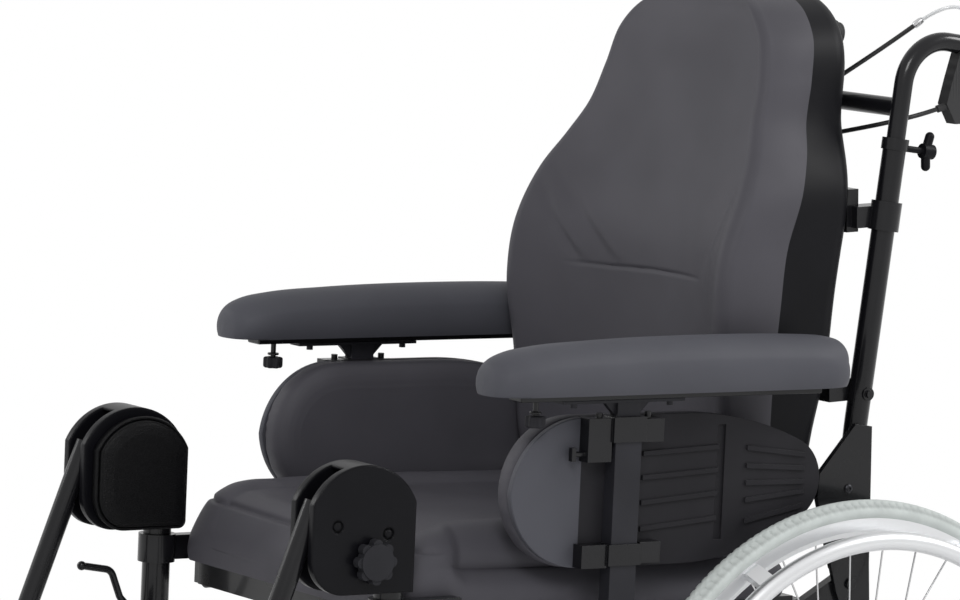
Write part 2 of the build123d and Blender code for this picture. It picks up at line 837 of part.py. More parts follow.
# ---- armrests --------------------------------------------------------------------------------------
def outer_post():
    """Hollow upright with its arm to the seat rail."""
    w = post_width / 2
    d = post_depth / 2
    body = box(post_x - w, post_x + w, post_y - d, post_y + d, post_bottom, post_top)
    half = post_arm_half
    body += box(seat_x, post_x - w, post_y - half, post_y + half, seat_z - half, seat_z + half)
    body -= rod((seat_x, seat_front_y, seat_z), (seat_x, seat_rear_y, seat_z), seat_tube)
    t = post_wall
    cavity = box(post_x - w + t, post_x + w - t, post_y - d + t, post_y + d - t, post_bottom, post_top)
    return (body - cavity).solids().sort_by(lambda s: s.volume)[-1]


carrier_top = pad_bottom - strip_wall - face_clearance


def arm_post():
    """Sliding inner upright with the pad carrier and its two screws."""
    w = post_width / 2 - post_wall - pin_clearance
    d = post_depth / 2 - post_wall - pin_clearance
    body = box(post_x - w, post_x + w, post_y - d, post_y + d, inner_post_bottom, carrier_top)
    low = carrier_top - carrier_wall
    half = carrier_half
    body += box(post_x - half, post_x + half, carrier_front, carrier_rear, low, carrier_top)
    flare = 14.0
    rib = (
        (post_y - d - flare, low),
        (post_y + d + flare, low),
        (post_y + d, post_top + face_clearance),
        (post_y - d, post_top + face_clearance),
    )
    body += side_plate(rib, post_x - 3.0, post_x + 3.0)
    for y in carrier_screws:
        head = (post_x, y, low - carrier_screw_length)
        body += rod(head, (post_x, y, low), carrier_screw_radius)
    return body


def pad_face(y, base, wide, shoulder, top):
    """Cross-section of the arm pad: flat base, round shoulders, crowned top."""
    z0 = pad_bottom
    edge = wide - 3.0
    mid_z = (z0 + shoulder) / 2
    plane = Plane(origin=(post_x, y, 0), x_dir=(1, 0, 0), z_dir=(0, -1, 0))
    edges = [
        Line((-base, z0), (base, z0)),
        ThreePointArc((base, z0), (wide, mid_z), (edge, shoulder)),
        ThreePointArc((edge, shoulder), (0, top), (-edge, shoulder)),
        ThreePointArc((-edge, shoulder), (-wide, mid_z), (-base, z0)),
    ]
    return plane * make_face(edges)


def arm_pad():
    """Padded armrest top, its steel strip and the thumb screw that clamps it."""
    pad = loft([pad_face(*row) for row in pad_sections])
    low = pad_bottom - strip_wall
    strip = box(post_x - strip_half, post_x + strip_half, strip_front, strip_rear, low, pad_bottom)
    bottom = low - thumb_drop
    screw = rod((post_x, thumb_y, bottom), (post_x, thumb_y, low), thumb_shank)
    screw += rod((post_x, thumb_y, bottom), (post_x, thumb_y, bottom + 12.0), thumb_knob)
    screw += rod((post_x, thumb_y, bottom + 14.0), (post_x, thumb_y, bottom + 16.5), thumb_washer)
    return group(pad, strip, screw)


# ---- side guards -----------------------------------------------------------------------------------
def guard_outline(front, shoulder, inset):
    """Oval outline in (y, z): round nose, level middle and a tail that tapers to the rear."""
    top = guard_top - inset
    low = guard_bottom + inset
    nose = front + inset
    rear = guard_rear - inset
    mid = guard_mid_z
    tail_y = rear - 24.0
    tail_up = mid + 44.0 - inset / 2
    tail_low = mid - 36.0 + inset / 2
    bow = 0.293
    dy = shoulder - nose
    return [
        Line((shoulder, top), (guard_mid_y, top)),
        ThreePointArc((guard_mid_y, top), (guard_mid_y + 76.0, top - 8.0), (tail_y, tail_up)),
        ThreePointArc((tail_y, tail_up), (rear, mid + 4.0), (tail_y, tail_low)),
        ThreePointArc((tail_y, tail_low), (guard_mid_y + 76.0, low + 10.0), (guard_mid_y, low)),
        Line((guard_mid_y, low), (shoulder, low)),
        ThreePointArc((shoulder, low), (nose + bow * dy, low + bow * (mid - low)), (nose, mid)),
        ThreePointArc((nose, mid), (nose + bow * dy, top - bow * (top - mid)), (shoulder, top)),
    ]


def outline_plate(edges, x0, x1):
    """Plate with the given (y, z) outline between two x planes."""
    return extrude(Plane.YZ.offset(x0) * make_face(edges), x1 - x0, dir=(1, 0, 0))


def side_guard():
    """Ribbed plastic panel with an upright groove."""
    x0 = guard_x
    x1 = guard_x + guard_wall
    body = outline_plate(guard_outline(side_pad_front, side_pad_shoulder, 0.0), x0, x1)
    body -= box(x0 - 1, x1 + 1, side_pad_front - 10, guard_front, guard_bottom - 10, guard_top + 10)
    y0, y1 = slot_y
    body -= box(x1 - slot_depth, x1 + 1, y0, y1, slot_z[0], slot_z[1])
    ribs = [(front_rib_y, row) for row in front_ribs] + [(rear_rib_y, row) for row in rear_ribs]
    for (ya, yb), (za, zb) in ribs:
        points = ((ya, za - rib_half), (yb, zb - rib_half), (yb, zb + rib_half), (ya, za + rib_half))
        body += side_plate(points, x1 - 0.5, x1 + rib_height)
    return body


def side_pad():
    """Padded oval between the guard and the sitter, crowned towards the seat."""
    depth = guard_x - side_pad_inner
    stations = ((0.0, 3.0), (0.22, 0.0), (0.62, 2.0), (0.88, 10.0), (1.0, 26.0))
    faces = []
    for share, inset in stations:
        edges = guard_outline(side_pad_front, side_pad_shoulder, inset)
        faces.append(Plane.YZ.offset(guard_x - share * depth) * make_face(edges))
    return loft(faces)


def front_cover():
    """Half-round upholstered cover in front of the guard panel."""
    x1 = guard_x + cover_out
    body = outline_plate(guard_outline(cover_front, guard_front + 8.0, 1.0), x1 - cover_wall, x1)
    return body & box(x1 - cover_wall, x1, cover_front - 5, guard_front, guard_bottom, guard_top)


def guard_clamps():
    """Clamp blocks, bands and bolts that hold the guard to the post."""
    w = post_width / 2
    d = post_depth / 2
    t = clamp_wall
    x0 = guard_x + guard_wall
    x1 = post_x + w
    front = post_y - d
    rear = post_y + d
    post = box(post_x - w, x1, front, rear, post_bottom, post_top)
    xf = guard_x + cover_out
    upper = box(x0, x1 + t, front - 4, rear + 4, post_top - 26, post_top)
    upper += box(xf, x1 - 1, front - 33, front - 4, post_top - 46, post_top - 1)
    upper += box(xf, x1 - 1, rear + 4, rear + 28, post_top - 27, post_top - 3)
    lower = box(x0, x1 + t, front - 4, rear + 4, guard_bottom + 4, guard_bottom + 26)
    lower += box(xf, x1 - 1, front - 35, front - 4, guard_bottom + 2, guard_bottom + 26)
    lower += box(xf, x1 - 1, rear + 4, rear + 30, guard_bottom + 5, guard_bottom + 27)
    bolt_z = post_top - 38
    nose = front - 33
    bolt = rod((post_x, nose - 13, bolt_z), (post_x, nose, bolt_z), 3.0)
    bolt += box(post_x - 3, post_x + 3, nose - 16, nose - 11, bolt_z - 7, bolt_z + 7)
    caps = [rod((post_x, y, post_top - lift), (post_x, y, post_top + 4), 3.5)
            for y, lift in ((front - 16, 1), (rear + 12, 3))]
    return group(upper - post, lower - post, bolt, *caps)


# ---- legrests --------------------------------------------------------------------------------------
knee_inner_x = leg_x - knee_gap / 2 - knee_wall
knee_outer_x = leg_x + knee_gap / 2 + knee_wall
knee_back_y = knee_y + knee_back
knee_bottom_z = knee_z - knee_drop
lever_y = leg_post_y - leg_post - 9.0
lever_z = leg_post_bottom + 16.0


def legrest_post():
    """Swing-away upright that turns in the hanger's collar, with the release lever's lug and pin."""
    body = rod((leg_x, leg_post_y, leg_post_bottom), (leg_x, leg_post_y, knee_bottom_z), leg_post)
    top = knee_bottom_z + leg_spigot_length
    body += rod((leg_x, leg_post_y, knee_bottom_z), (leg_x, leg_post_y, top), leg_spigot)
    body += box(leg_x - 4, leg_x + 4, lever_y - 7, leg_post_y, lever_z - 7, lever_z + 7)
    end = leg_x + 4 + face_clearance + lever_wall + 0.5
    return body + cross_rod(leg_x - 4, end, lever_y, lever_z, lever_pin)


def knee_outline(ahead, inset):
    """Arched outline in (y, z) with straight front and back edges and a round lower front corner."""
    front = knee_y - knee_front + ahead
    back = knee_back_y - inset
    low = knee_bottom_z + inset
    crown = knee_z + knee_top - ahead
    half = (back - front) / 2
    mid = (front + back) / 2
    radius = half + knee_arch
    shoulder = crown - radius + math.sqrt(radius ** 2 - half ** 2)
    toe = knee_toe - inset
    bow = (1 - math.sqrt(0.5)) * toe
    return [
        ThreePointArc((front, shoulder), (mid, crown), (back, shoulder)),
        Line((back, shoulder), (back, low)),
        Line((back, low), (front + toe, low)),
        ThreePointArc((front + toe, low), (front + bow, low + bow), (front, low + toe)),
        Line((front, low + toe), (front, shoulder)),
    ]


def knee_plate(x0, x1):
    """Plate with the knee unit's outline."""
    return outline_plate(knee_outline(0.0, 0.0), x0, x1)


def knee_housing():
    """Two shells joined by a spine and a roof, with the knee pivot pin and cover screws."""
    inner = leg_x - knee_gap / 2
    outer = leg_x + knee_gap / 2
    body = knee_plate(knee_inner_x, inner) + knee_plate(outer, knee_outer_x)
    spine = knee_plate(inner, outer)
    spine &= box(inner, outer, knee_back_y - knee_spine, knee_back_y, knee_bottom_z, knee_z + 20.0)
    cap = knee_plate(inner, outer) - cross_rod(inner, outer, knee_y, knee_z, knee_top - knee_cap)
    cap &= box(inner, outer, knee_y - knee_cap_front, knee_back_y, knee_z, knee_z + knee_top)
    body += spine + cap
    body += cross_rod(inner - 1, outer + 1, knee_y, knee_z, knee_pin)
    for y, z in knee_screws:
        body -= cross_rod(knee_outer_x - knee_screw_depth, knee_outer_x + 1, y, z, knee_recess)
    body -= cross_rod(outer, knee_outer_x, knob_y, knob_z, knob_stud + pin_clearance)
    top = knee_bottom_z + leg_spigot_length
    body -= rod((leg_x, leg_post_y, knee_bottom_z), (leg_x, leg_post_y, top), leg_spigot)
    heads = [cross_rod(knee_outer_x - knee_screw_depth, knee_outer_x - 0.5, y, z, knee_screw)
             for y, z in knee_screws]
    return group(body, *heads)


def knee_knob():
    """Lobed clamp knob with a raised middle and its stud."""
    x0 = knee_outer_x + knob_stand
    x1 = x0 + knob_wall
    body = cross_rod(x0, x1, knob_y, knob_z, knob_core)
    for k in range(knob_lobes):
        turn = 2 * math.pi * k / knob_lobes
        y = knob_y + knob_lobe_circle * math.cos(turn)
        z = knob_z + knob_lobe_circle * math.sin(turn)
        body += cross_rod(x0, x1 - 1.5, y, z, knob_lobe)
    body += cross_rod(knee_outer_x + face_clearance, x0, knob_y, knob_z, 2 * knob_stud)
    return body + cross_rod(leg_x + knee_gap / 2, x0, knob_y, knob_z, knob_stud)


def knee_pad():
    """Leather pad on the inner shell, crowned towards the knee."""
    faces = []
    for share, inset in ((0.0, 2.0), (0.3, 0.0), (0.7, 3.0), (1.0, 14.0)):
        x = knee_inner_x - share * knee_pad_wall
        edges = knee_outline(knee_pad_front + inset, knee_pad_edge + inset)
        faces.append(Plane.YZ.offset(x) * make_face(edges))
    return loft(faces)


def at_knee(part):
    """Carry a piece from the upright leg layout, pivot at the origin, to the knee pivot."""
    return Pos(leg_x, knee_y, knee_z) * Rot(-leg_lean, 0, 0) * part


def leg_upper():
    """Elevating leg tube with its eye on the knee pin."""
    y = -leg_offset
    body = rod((0, y, leg_tube_top), (0, y, -leg_tube_length), leg_tube)
    half = leg_eye_width / 2
    body += box(-half, half, y, 0, -11.0, 11.0) + cross_rod(-half, half, 0, 0, leg_eye)
    bore = leg_tube - leg_tube_wall
    body -= rod((0, y, leg_tube_top - 12.0), (0, y, -leg_tube_length), bore)
    return at_knee(body - cross_rod(-half, half, 0, 0, knee_pin + pin_clearance))


def leg_lower():
    """Telescoping lower leg with the fore-and-aft bar the footplate hinges on."""
    y = -leg_offset
    radius = leg_tube - leg_tube_wall - pin_clearance
    body = rod((0, y, -lower_leg_top), (0, y, -foot_drop), radius)
    half = foot_bar_length / 2
    bar = Pos(0, y, -foot_drop) * Rot(foot_pitch, 0, 0) * rod((0, -half, 0), (0, half, 0), foot_bar)
    return at_knee(body + bar)


def footplate():
    """Flip-up footplate with its two hinge knuckles."""
    half = foot_bar_length / 2
    length = foot_knuckle_length
    body = rod((0, -half, 0), (0, length - half, 0), foot_knuckle)
    body += rod((0, half - length, 0), (0, half, 0), foot_knuckle)
    top = -foot_below
    low = top - foot_wall
    y0 = -foot_forward - foot_length / 2
    y1 = y0 + foot_length
    outline = fillet((Rectangle(foot_width, foot_length)).vertices(), 18.0)
    plate = extrude(Pos(-foot_width / 2 - 8.0, (y0 + y1) / 2, low) * outline, foot_wall)
    body += plate
    for start in (-half, half - length):
        body += box(-foot_knuckle, 0, start, start + length, low, 0)
    body -= rod((0, -half - 5, 0), (0, half + 5, 0), foot_bar + pin_clearance)
    return at_knee(Pos(0, -leg_offset, -foot_drop) * Rot(foot_pitch, 0, 0) * body)


def calf_pad():
    """Calf pad on an arm clipped round the leg tube."""
    y = -leg_offset
    z = -calf_drop
    h = calf_ring_height / 2
    ring = rod((0, y, z - h), (0, y, z + h), calf_ring)
    inner = -calf_ring - 4.0
    arm_back = y + calf_set_back + 4.0
    arm = box(inner - 30.0, 0, y + 3.0, arm_back, z - h, z + h) + ring
    arm -= rod((0, y, z - h), (0, y, z + h), leg_tube + pin_clearance)
    faces = []
    for share, inset in ((0.0, 9.0), (0.35, 0.0), (0.75, 2.0), (1.0, 12.0)):
        w = calf_width / 2 - inset
        t = calf_height / 2 - inset
        depth = arm_back + (1 - share) * calf_wall
        plane = Plane(origin=(inner - calf_width / 2, depth, z), x_dir=(1, 0, 0), z_dir=(0, -1, 0))
        faces.append(plane * fillet(Rectangle(2 * w, 2 * t).vertices(), 16.0))
    arm_body = Part() + arm
    return group(at_knee(loft(faces)), at_knee(arm_body))


def release_lever():
    """Hooked lever that frees the swing-away legrest."""
    x0 = leg_x + 4 + face_clearance
    x1 = x0 + lever_wall
    mid = (x0 + x1) / 2
    points = (
        (mid, lever_y, lever_z),
        (mid, lever_y - 14.0, lever_z + 14.0),
        (mid, lever_y - 26.0, lever_z + 44.0),
        (mid, lever_y - 62.0, lever_z + 50.0),
    )
    body = bent(points, 12.0, lever_bar) + cross_rod(x0, x1, lever_y, lever_z, lever_eye)
    end = points[-1]
    body += Pos(*end) * Sphere(lever_rod)
    return body - cross_rod(x0 - 1, x1 + 1, lever_y, lever_z, lever_pin + pin_clearance)


# ---- back ------------------------------------------------------------------------------------------
back_top = Vector(0, *back_points[-1])
back_run = (back_top - Vector(0, *back_points[-2])).normalized()


def along_back(distance, x=back_x):
    """Point on the back tube's upper axis, measured from its top end."""
    p = back_top + back_run * distance
    return (x, p.Y, p.Z)


def back_upright():
    """Back tube with the plastic ring at its mouth."""
    points = [(back_x, y, z) for y, z in back_points]
    bore = push_tube + pin_clearance
    body = bent(points, back_bend, back_tube, bore)
    ring = rod(along_back(-back_ring_length), along_back(1.5), back_ring)
    return body + (ring - rod(along_back(-60.0), along_back(5.0), bore))


recline_at = lean_point(recline_y, recline_z)
hinge_x = seat_x + seat_tube - 0.1 + face_clearance


def hinge_cheek():
    """Side plate from the recline pin up to the back tube, cut round the tube."""
    hy, hz = recline_at
    points = (
        (hy - 18.0, hz - 8.0),
        (back_bar_y - 14.0, back_bar_z - 12.0),
        (back_bar_y + 12.0, back_bar_z - 12.0),
        (back_points[0][0] + 22.0, back_points[0][1]),
        (back_points[1][0] + 9.0, back_points[1][1] + 4.0),
        (back_points[1][0] - 12.0, back_points[1][1] + 8.0),
        (7.0, 609.0),
        (4.0, 584.0),
    )
    plate = side_plate(points, hinge_x - 1.2, hinge_x + hinge_plate)
    tube = bent([(back_x, y, z) for y, z in back_points], back_bend, back_tube)
    plate -= tube
    clear = 3 * recline_head
    plate -= box(hinge_x - 2, hinge_x, hy - clear, hy + clear, 0, hz + recline_head + 4)
    plate -= cross_rod(hinge_x - 5, hinge_x + 20, hy, hz, recline_pin + pin_clearance)
    return plate.solids().sort_by(lambda s: s.volume)[-1]


def back_frame():
    """Both back tubes, the hinge plates, the lower bar and the gas spring's ears."""
    tube = back_upright()
    cheek = Part() + hinge_cheek()
    bar = cross_rod(-hinge_x, hinge_x, back_bar_y, back_bar_z, back_bar)
    end_y, end_z = recline_spring_end
    ears = clevis(recline_spring_x, back_bar_y, back_bar_z, end_y, end_z, bar)
    return group(tube, mirrored(tube), cheek, mirrored(cheek), bar, ears)


def back_cushion_face(z, wide, wing, middle, rim_y, rear):
    """Level section of the back cushion: wings, hollow middle and a flat rear."""
    nose = 0.09 * wide + 5.0
    tip = wide - nose
    side_y = (rim_y + wing + 12.0) / 2
    hollow = tip - nose
    edges = [
        Line((-wide + shell_inset, rim_y), (wide - shell_inset, rim_y)),
        ThreePointArc((wide - shell_inset, rim_y), (wide, side_y), (wide - 3.0, wing + 12.0)),
        ThreePointArc((wide - 3.0, wing + 12.0), (tip + 0.45 * nose, wing + 2.0), (tip - 0.3 * nose, wing)),
        ThreePointArc((tip - 0.3 * nose, wing), (0, middle), (0.3 * nose - tip, wing)),
        ThreePointArc((0.3 * nose - tip, wing), (-tip - 0.45 * nose, wing + 2.0), (3.0 - wide, wing + 12.0)),
        ThreePointArc((3.0 - wide, wing + 12.0), (-wide, side_y), (-wide + shell_inset, rim_y)),
    ]
    return Plane.XY.offset(z) * make_face(edges)


def back_cushion():
    """Contoured back cushion with side wings, lumbar hollow and a narrow rounded top."""
    return loft([back_cushion_face(*row) for row in back_sections])


def shell_face(row, inset, open_front):
    """Level section of the back shell: flat rear with round corners."""
    z, wide, wing, middle, rim_y, rear = row
    w = wide - shell_inset - inset
    y0 = rim_y + shell_gap - open_front
    y1 = rear - inset
    corner = min(20.0, 0.42 * (rear - rim_y), 0.5 * wide)
    k = 0.293 * corner
    edges = [
        Line((-w, y0), (w, y0)),
        Line((w, y0), (w - 1.0, y1 - corner)),
        ThreePointArc((w - 1.0, y1 - corner), (w - 1.0 - k, y1 - k), (w - 1.0 - corner, y1)),
        ThreePointArc((w - 1.0 - corner, y1), (0, y1 + 1.5), (corner + 1.0 - w, y1)),
        ThreePointArc((corner + 1.0 - w, y1), (k + 1.0 - w, y1 - k), (1.0 - w, y1 - corner)),
        Line((1.0 - w, y1 - corner), (-w, y0)),
    ]
    return Plane.XY.offset(z) * make_face(edges)


def back_shell():
    """Moulded tray behind the cushion."""
    outer = loft([shell_face(row, 0.0, 0.0) for row in back_sections])
    rows = back_sections[1:-2]
    inner = loft([shell_face(row, shell_wall, 6.0) for row in rows])
    return outer - inner


def shell_clamp():
    """Upper clamp: band round the tube, arm and claw on the shell's rear."""
    low = along_back(-97.0)
    high = along_back(-66.0)
    body = rod(low, high, back_tube + 4.0)
    z0 = low[2] + 4.0
    z1 = high[2] - 4.0
    y = (low[1] + high[1]) / 2
    claw = 68.0
    body += box(back_x - 26.0, back_x - 2.0, claw, y, z0, z1)
    body += box(back_x - 30.0, back_x - 12.0, claw - 6.0, claw + 9.0, z0 - 5.0, z1 + 18.0)
    body -= rod(along_back(-120.0), along_back(-40.0), back_tube)
    block = box(back_x - 24.0, back_x - 4.0, 35.0, 66.0, 680.0, 703.0)
    lower_tube = bent([(back_x, yy, zz) for yy, zz in back_points], back_bend, back_tube)
    block -= lower_tube
    return [body, block.solids().sort_by(lambda s: s.volume)[-1]]


def shell_clamps():
    """Upper and lower clamps on both sides, cut to the shell, with their bolts."""
    shell_body = loft([shell_face(row, 0.0, 0.0) for row in back_sections])
    upper, lower = shell_clamp()
    pieces = []
    for piece in (upper, Part() + lower):
        trimmed = (piece - shell_body).solids().sort_by(lambda s: s.volume)[-1]
        pieces.append(Part() + trimmed)
    bolt_y = 73.0
    bolt_z = 688.0
    bolt = cross_rod(back_x + back_tube - 0.6, back_x + back_tube + 2.0, bolt_y, bolt_z, 7.0)
    bolt += cross_rod(back_x + back_tube + 2.0, back_x + back_tube + 5.0, bolt_y, bolt_z, 4.0)
    tube = bent([(back_x, yy, zz) for yy, zz in back_points], back_bend, back_tube)
    pieces.append(bolt - tube)
    return group(*[pair(piece) for piece in pieces])


# ---- push bar --------------------------------------------------------------------------------------
def handle_path():
    """Corner points of the push tube, left side."""
    slope = math.radians(push_slope)
    cy, cz = along_back(push_rise)[1:]
    end = (back_x, cy + push_length * math.cos(slope), cz - push_length * math.sin(slope))
    return (along_back(-push_depth), (back_x, cy, cz), end)


def grip_point(distance, drop=0.0):
    """Point on the grip's axis, measured from the bend's corner."""
    slope = math.radians(push_slope)
    cy, cz = along_back(push_rise)[1:]
    y = cy + distance * math.cos(slope) - drop * math.sin(slope)
    z = cz - distance * math.sin(slope) - drop * math.cos(slope)
    return (back_x, y, z)


def push_handle():
    """Push tube: straight insert, bend and handle."""
    return bent(handle_path(), push_bend, push_tube, push_tube - push_wall)


def push_bar():
    """Both push tubes and the crossbar between them."""
    tube = push_handle()
    y, z = along_back(crossbar_rise)[1:]
    bar = cross_rod(-back_x, back_x, y, z, push_tube)
    solid = bent(handle_path(), push_bend, push_tube)
    bar = bar - solid - mirrored(solid)
    bar = bar.solids().sort_by(lambda s: s.volume)[-1]
    return group(tube, mirrored(tube), Part() + bar)


def hand_grip():
    """Rubber grip on the push tube's end."""
    start = grip_point(grip_start)
    end = grip_point(grip_start + grip_length)
    stop = grip_point(push_length)
    return rod(start, end, grip_radius) + rod(end, grip_point(push_length + 4), grip_radius - 2) \
        - rod(start, stop, push_tube)


trigger_x = 6.0
trigger_y = 238.0
trigger_z = 1000.0


def trigger_housing():
    """Clamp round the push tube with the lever's cheeks below it."""
    start = grip_point(grip_start - 18.0)
    end = grip_point(grip_start - 1.0)
    body = rod(start, end, push_tube + 5.0)
    lug = (
        (178.0, 990.0),
        (186.0, 1016.0),
        (197.0, 1048.0),
        (224.0, 1043.0),
        (227.0, 1012.0),
        (227.0, 984.0),
        (208.0, 968.0),
        (190.0, 968.0),
    )
    x = back_x
    body += side_plate(lug, x - 8.0, x + 8.0)
    cheek = ((216.0, 1014.0), (246.0, 1012.0), (248.0, 990.0), (216.0, 984.0))
    gap = trigger_x + face_clearance
    body += side_plate(cheek, x - gap - 4.0, x - gap) + side_plate(cheek, x + gap, x + gap + 4.0)
    body += cross_rod(x - gap - 2, x + gap + 2, trigger_y, trigger_z, 3.0)
    return body - bent(handle_path(), push_bend, push_tube)


def cable_port(points, length, forward):
    """Short barrel at one end of a cable, in line with its last run."""
    tip = Vector(*points[0 if forward else -1])
    near = Vector(*points[1 if forward else -2])
    back = (tip - near).normalized()
    return rod(tip, tip + back * length, port_radius)


def left_trigger_housing():
    """Left housing, which also takes the two release cables."""
    body = trigger_housing() + cable_port(lower_cable_points, port_length, True)
    body += cable_port(wire_points, port_length, False)
    return body - bent(handle_path(), push_bend, push_tube)


def trigger():
    """Hand lever under the grip."""
    points = (
        (trigger_y - 8.0, trigger_z - 5.0),
        (trigger_y - 4.0, trigger_z + 7.0),
        (trigger_y + 8.0, trigger_z + 7.0),
        (trigger_y + 96.0, trigger_z - 10.0),
        (trigger_y + 100.0, trigger_z - 19.0),
        (trigger_y + 60.0, trigger_z - 12.0),
        (trigger_y + 6.0, trigger_z - 8.0),
    )
    body = side_plate(points, back_x - trigger_x, back_x + trigger_x)
    hole = 3.0 + pin_clearance
    return body - cross_rod(back_x - 20, back_x + 20, trigger_y, trigger_z, hole)


def height_knob():
    """Wing knob that clamps the push tube, square to the back tube."""
    base = Vector(*along_back(-8.0))
    out = Vector(0, back_run.Z, -back_run.Y)
    start = base + out * (back_tube + 2.0)
    head = base + out * (back_tube + 24.0)
    end = base + out * (back_tube + 38.0)
    body = rod(start, head, 3.5) + rod(head, end, 8.0)
    for side in (-1, 1):
        tip = head + out * 8.0 + back_run * (side * 16.0)
        body += rod((head + out * 5.0), tip, 5.0)
        body += Pos(*tip) * Sphere(5.0)
    return body - rod(along_back(-40.0), along_back(10.0), back_ring)


# ---- gas springs -----------------------------------------------------------------------------------
def spring_cylinder(x, base, end, length):
    """Gas spring body with its eye at the base."""
    b = Vector(x, *base)
    run = (Vector(x, *end) - b).normalized()
    shoulder = b + run * spring_neck_length
    stop = b + run * length
    body = rod(b, shoulder, spring_neck) + rod(shoulder, stop, spring_radius)
    half = spring_eye_width / 2
    body += cross_rod(x - half, x + half, base[0], base[1], spring_eye)
    body -= cross_rod(x - half, x + half, base[0], base[1], spring_pin + pin_clearance)
    deep = shoulder + run * 4.0
    return body - rod(deep, stop, spring_rod + pin_clearance)


def spring_piston(x, base, end, reach):
    """Gas spring rod with its eye at the far end."""
    e = Vector(x, *end)
    run = (Vector(x, *base) - e).normalized()
    body = rod(end_point(e), end_point(e + run * reach), spring_rod)
    half = spring_eye_width / 2
    body += cross_rod(x - half, x + half, end[0], end[1], spring_eye)
    return body - cross_rod(x - half, x + half, end[0], end[1], spring_pin + spring_play)


def end_point(vector):
    """Plain coordinates of a vector."""
    return (vector.X, vector.Y, vector.Z)


# ---- release cables --------------------------------------------------------------------------------
lower_cable_points = (
    (200.0, 171.0, 984.5),
    (196.0, 152.0, 979.0),
    (178.0, 124.0, 971.0),
    (140.0, 112.0, 962.0),
    (95.0, 99.0, 952.0),
    (60.0, 84.0, 944.0),
)
lower_cable_bends = (30.0, 40.0, 60.0, 60.0)
upper_cable_points = (
    (84.0, 97.5, 998.0),
    (110.0, 128.0, 1025.0),
    (138.0, 147.0, 1047.0),
    (172.0, 172.0, 1078.0),
)
upper_cable_bends = (60.0, 80.0)
wire_points = (
    (172.0, 172.0, 1078.0),
    (186.0, 187.0, 1091.5),
    (197.0, 205.0, 1094.0),
    (200.0, 217.0, 1084.0),
    (200.0, 217.0, 1071.0),
)
wire_bends = (14.0, 8.0, 6.0)


def release_cables():
    """Two release cables: one black housing, and one housing that ends in a ferrule and bare wire."""
    lower = bent(lower_cable_points, lower_cable_bends, cable_radius)
    upper = bent(upper_cable_points, upper_cable_bends, cable_radius)
    wire = bent(wire_points, wire_bends, wire_radius)
    return group(lower, upper, wire)


# ---- every piece -----------------------------------------------------------------------------------
def build():
    """All pieces in the common layout."""
    pieces = {}

    def both(name, part):
        """Left piece and its right-hand twin."""
        pieces[name + "_left"] = part
        pieces[name + "_right"] = mirrored(part)

    both("rear_tyre", at_wheel(tyre()))
    both("rear_rim", at_wheel(rim()))
    both("rear_hub", at_wheel(hub()))
    both("handrim", at_wheel(handrim()))
    pieces["quick_release_axles"] = pair(quick_release_axle())
    pieces["axle_mounts"] = pair(axle_mount())
    pieces["chassis_frame"] = chassis_frame()
    both("castor_fork", castor_fork())
    both("castor_wheel", castor_wheel())
    both("brake_lever", brake_lever())
    pieces["seat_frame"] = leaned(seat_frame())
    pieces["seat_board"] = leaned(seat_board())
    pieces["seat_cushion"] = leaned(seat_cushion())
    pieces["armrest_outer_posts"] = leaned(pair(Part() + outer_post()))
    pieces["side_guards"] = leaned(pair(side_guard()))
    pieces["side_guard_pads"] = leaned(group(pair(side_pad()), pair(front_cover())))
    pieces["side_guard_clamps"] = leaned(pair(guard_clamps()))
    both("arm_post", leaned(arm_post()))
    both("arm_pad", leaned(arm_pad()))
    both("legrest_post", leaned(legrest_post()))
    both("knee_housing", leaned(knee_housing()))
    both("knee_pad", leaned(knee_pad()))
    both("knee_knob", leaned(knee_knob()))
    both("leg_tube", leaned(leg_upper()))
    both("lower_leg", leaned(leg_lower()))
    both("footplate", leaned(footplate()))
    both("calf_pad", leaned(calf_pad()))
    both("release_lever", leaned(release_lever()))
    pieces["back_frame"] = back_frame()
    pieces["back_shell"] = back_shell()
    pieces["back_cushion"] = back_cushion()
    pieces["shell_clamps"] = shell_clamps()
    pieces["push_bar"] = push_bar()
    pieces["height_knobs"] = pair(height_knob())
    grips = pair(hand_grip())
    pieces["handle_grips"] = group(grips, left_trigger_housing(), mirrored(trigger_housing()))
    both("trigger", trigger())
    pieces["release_cables"] = release_cables()
    end = lean_point(*tilt_spring_end)
    body = spring_cylinder(0.0, tilt_spring_base, end, tilt_spring_body)
    pieces["tilt_spring_cylinder"] = body
    pieces["tilt_spring_rod"] = spring_piston(0.0, tilt_spring_base, end, tilt_spring_reach)
    x = recline_spring_x
    body = spring_cylinder(x, recline_spring_base, recline_spring_end, recline_spring_body)
    pieces["recline_spring_cylinder"] = body
    piston = spring_piston(x, recline_spring_base, recline_spring_end, recline_spring_reach)
    pieces["recline_spring_rod"] = piston
    return pieces


pieces = build()
bounds = Compound([solid for part in pieces.values() for solid in part.solids()]).bounding_box()
shift_y = -(bounds.min.Y + bounds.max.Y) / 2
os.makedirs("parts", exist_ok=True)
for name, part in pieces.items():
    placed = Pos(0, shift_y, 0) * part
    export_step(placed, os.path.join("parts", name + ".step"))
print("pieces", len(pieces), "shift_y", round(shift_y, 3))
print("size", round(bounds.size.X, 1), round(bounds.size.Y, 1), round(bounds.size.Z, 1))
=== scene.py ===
import math

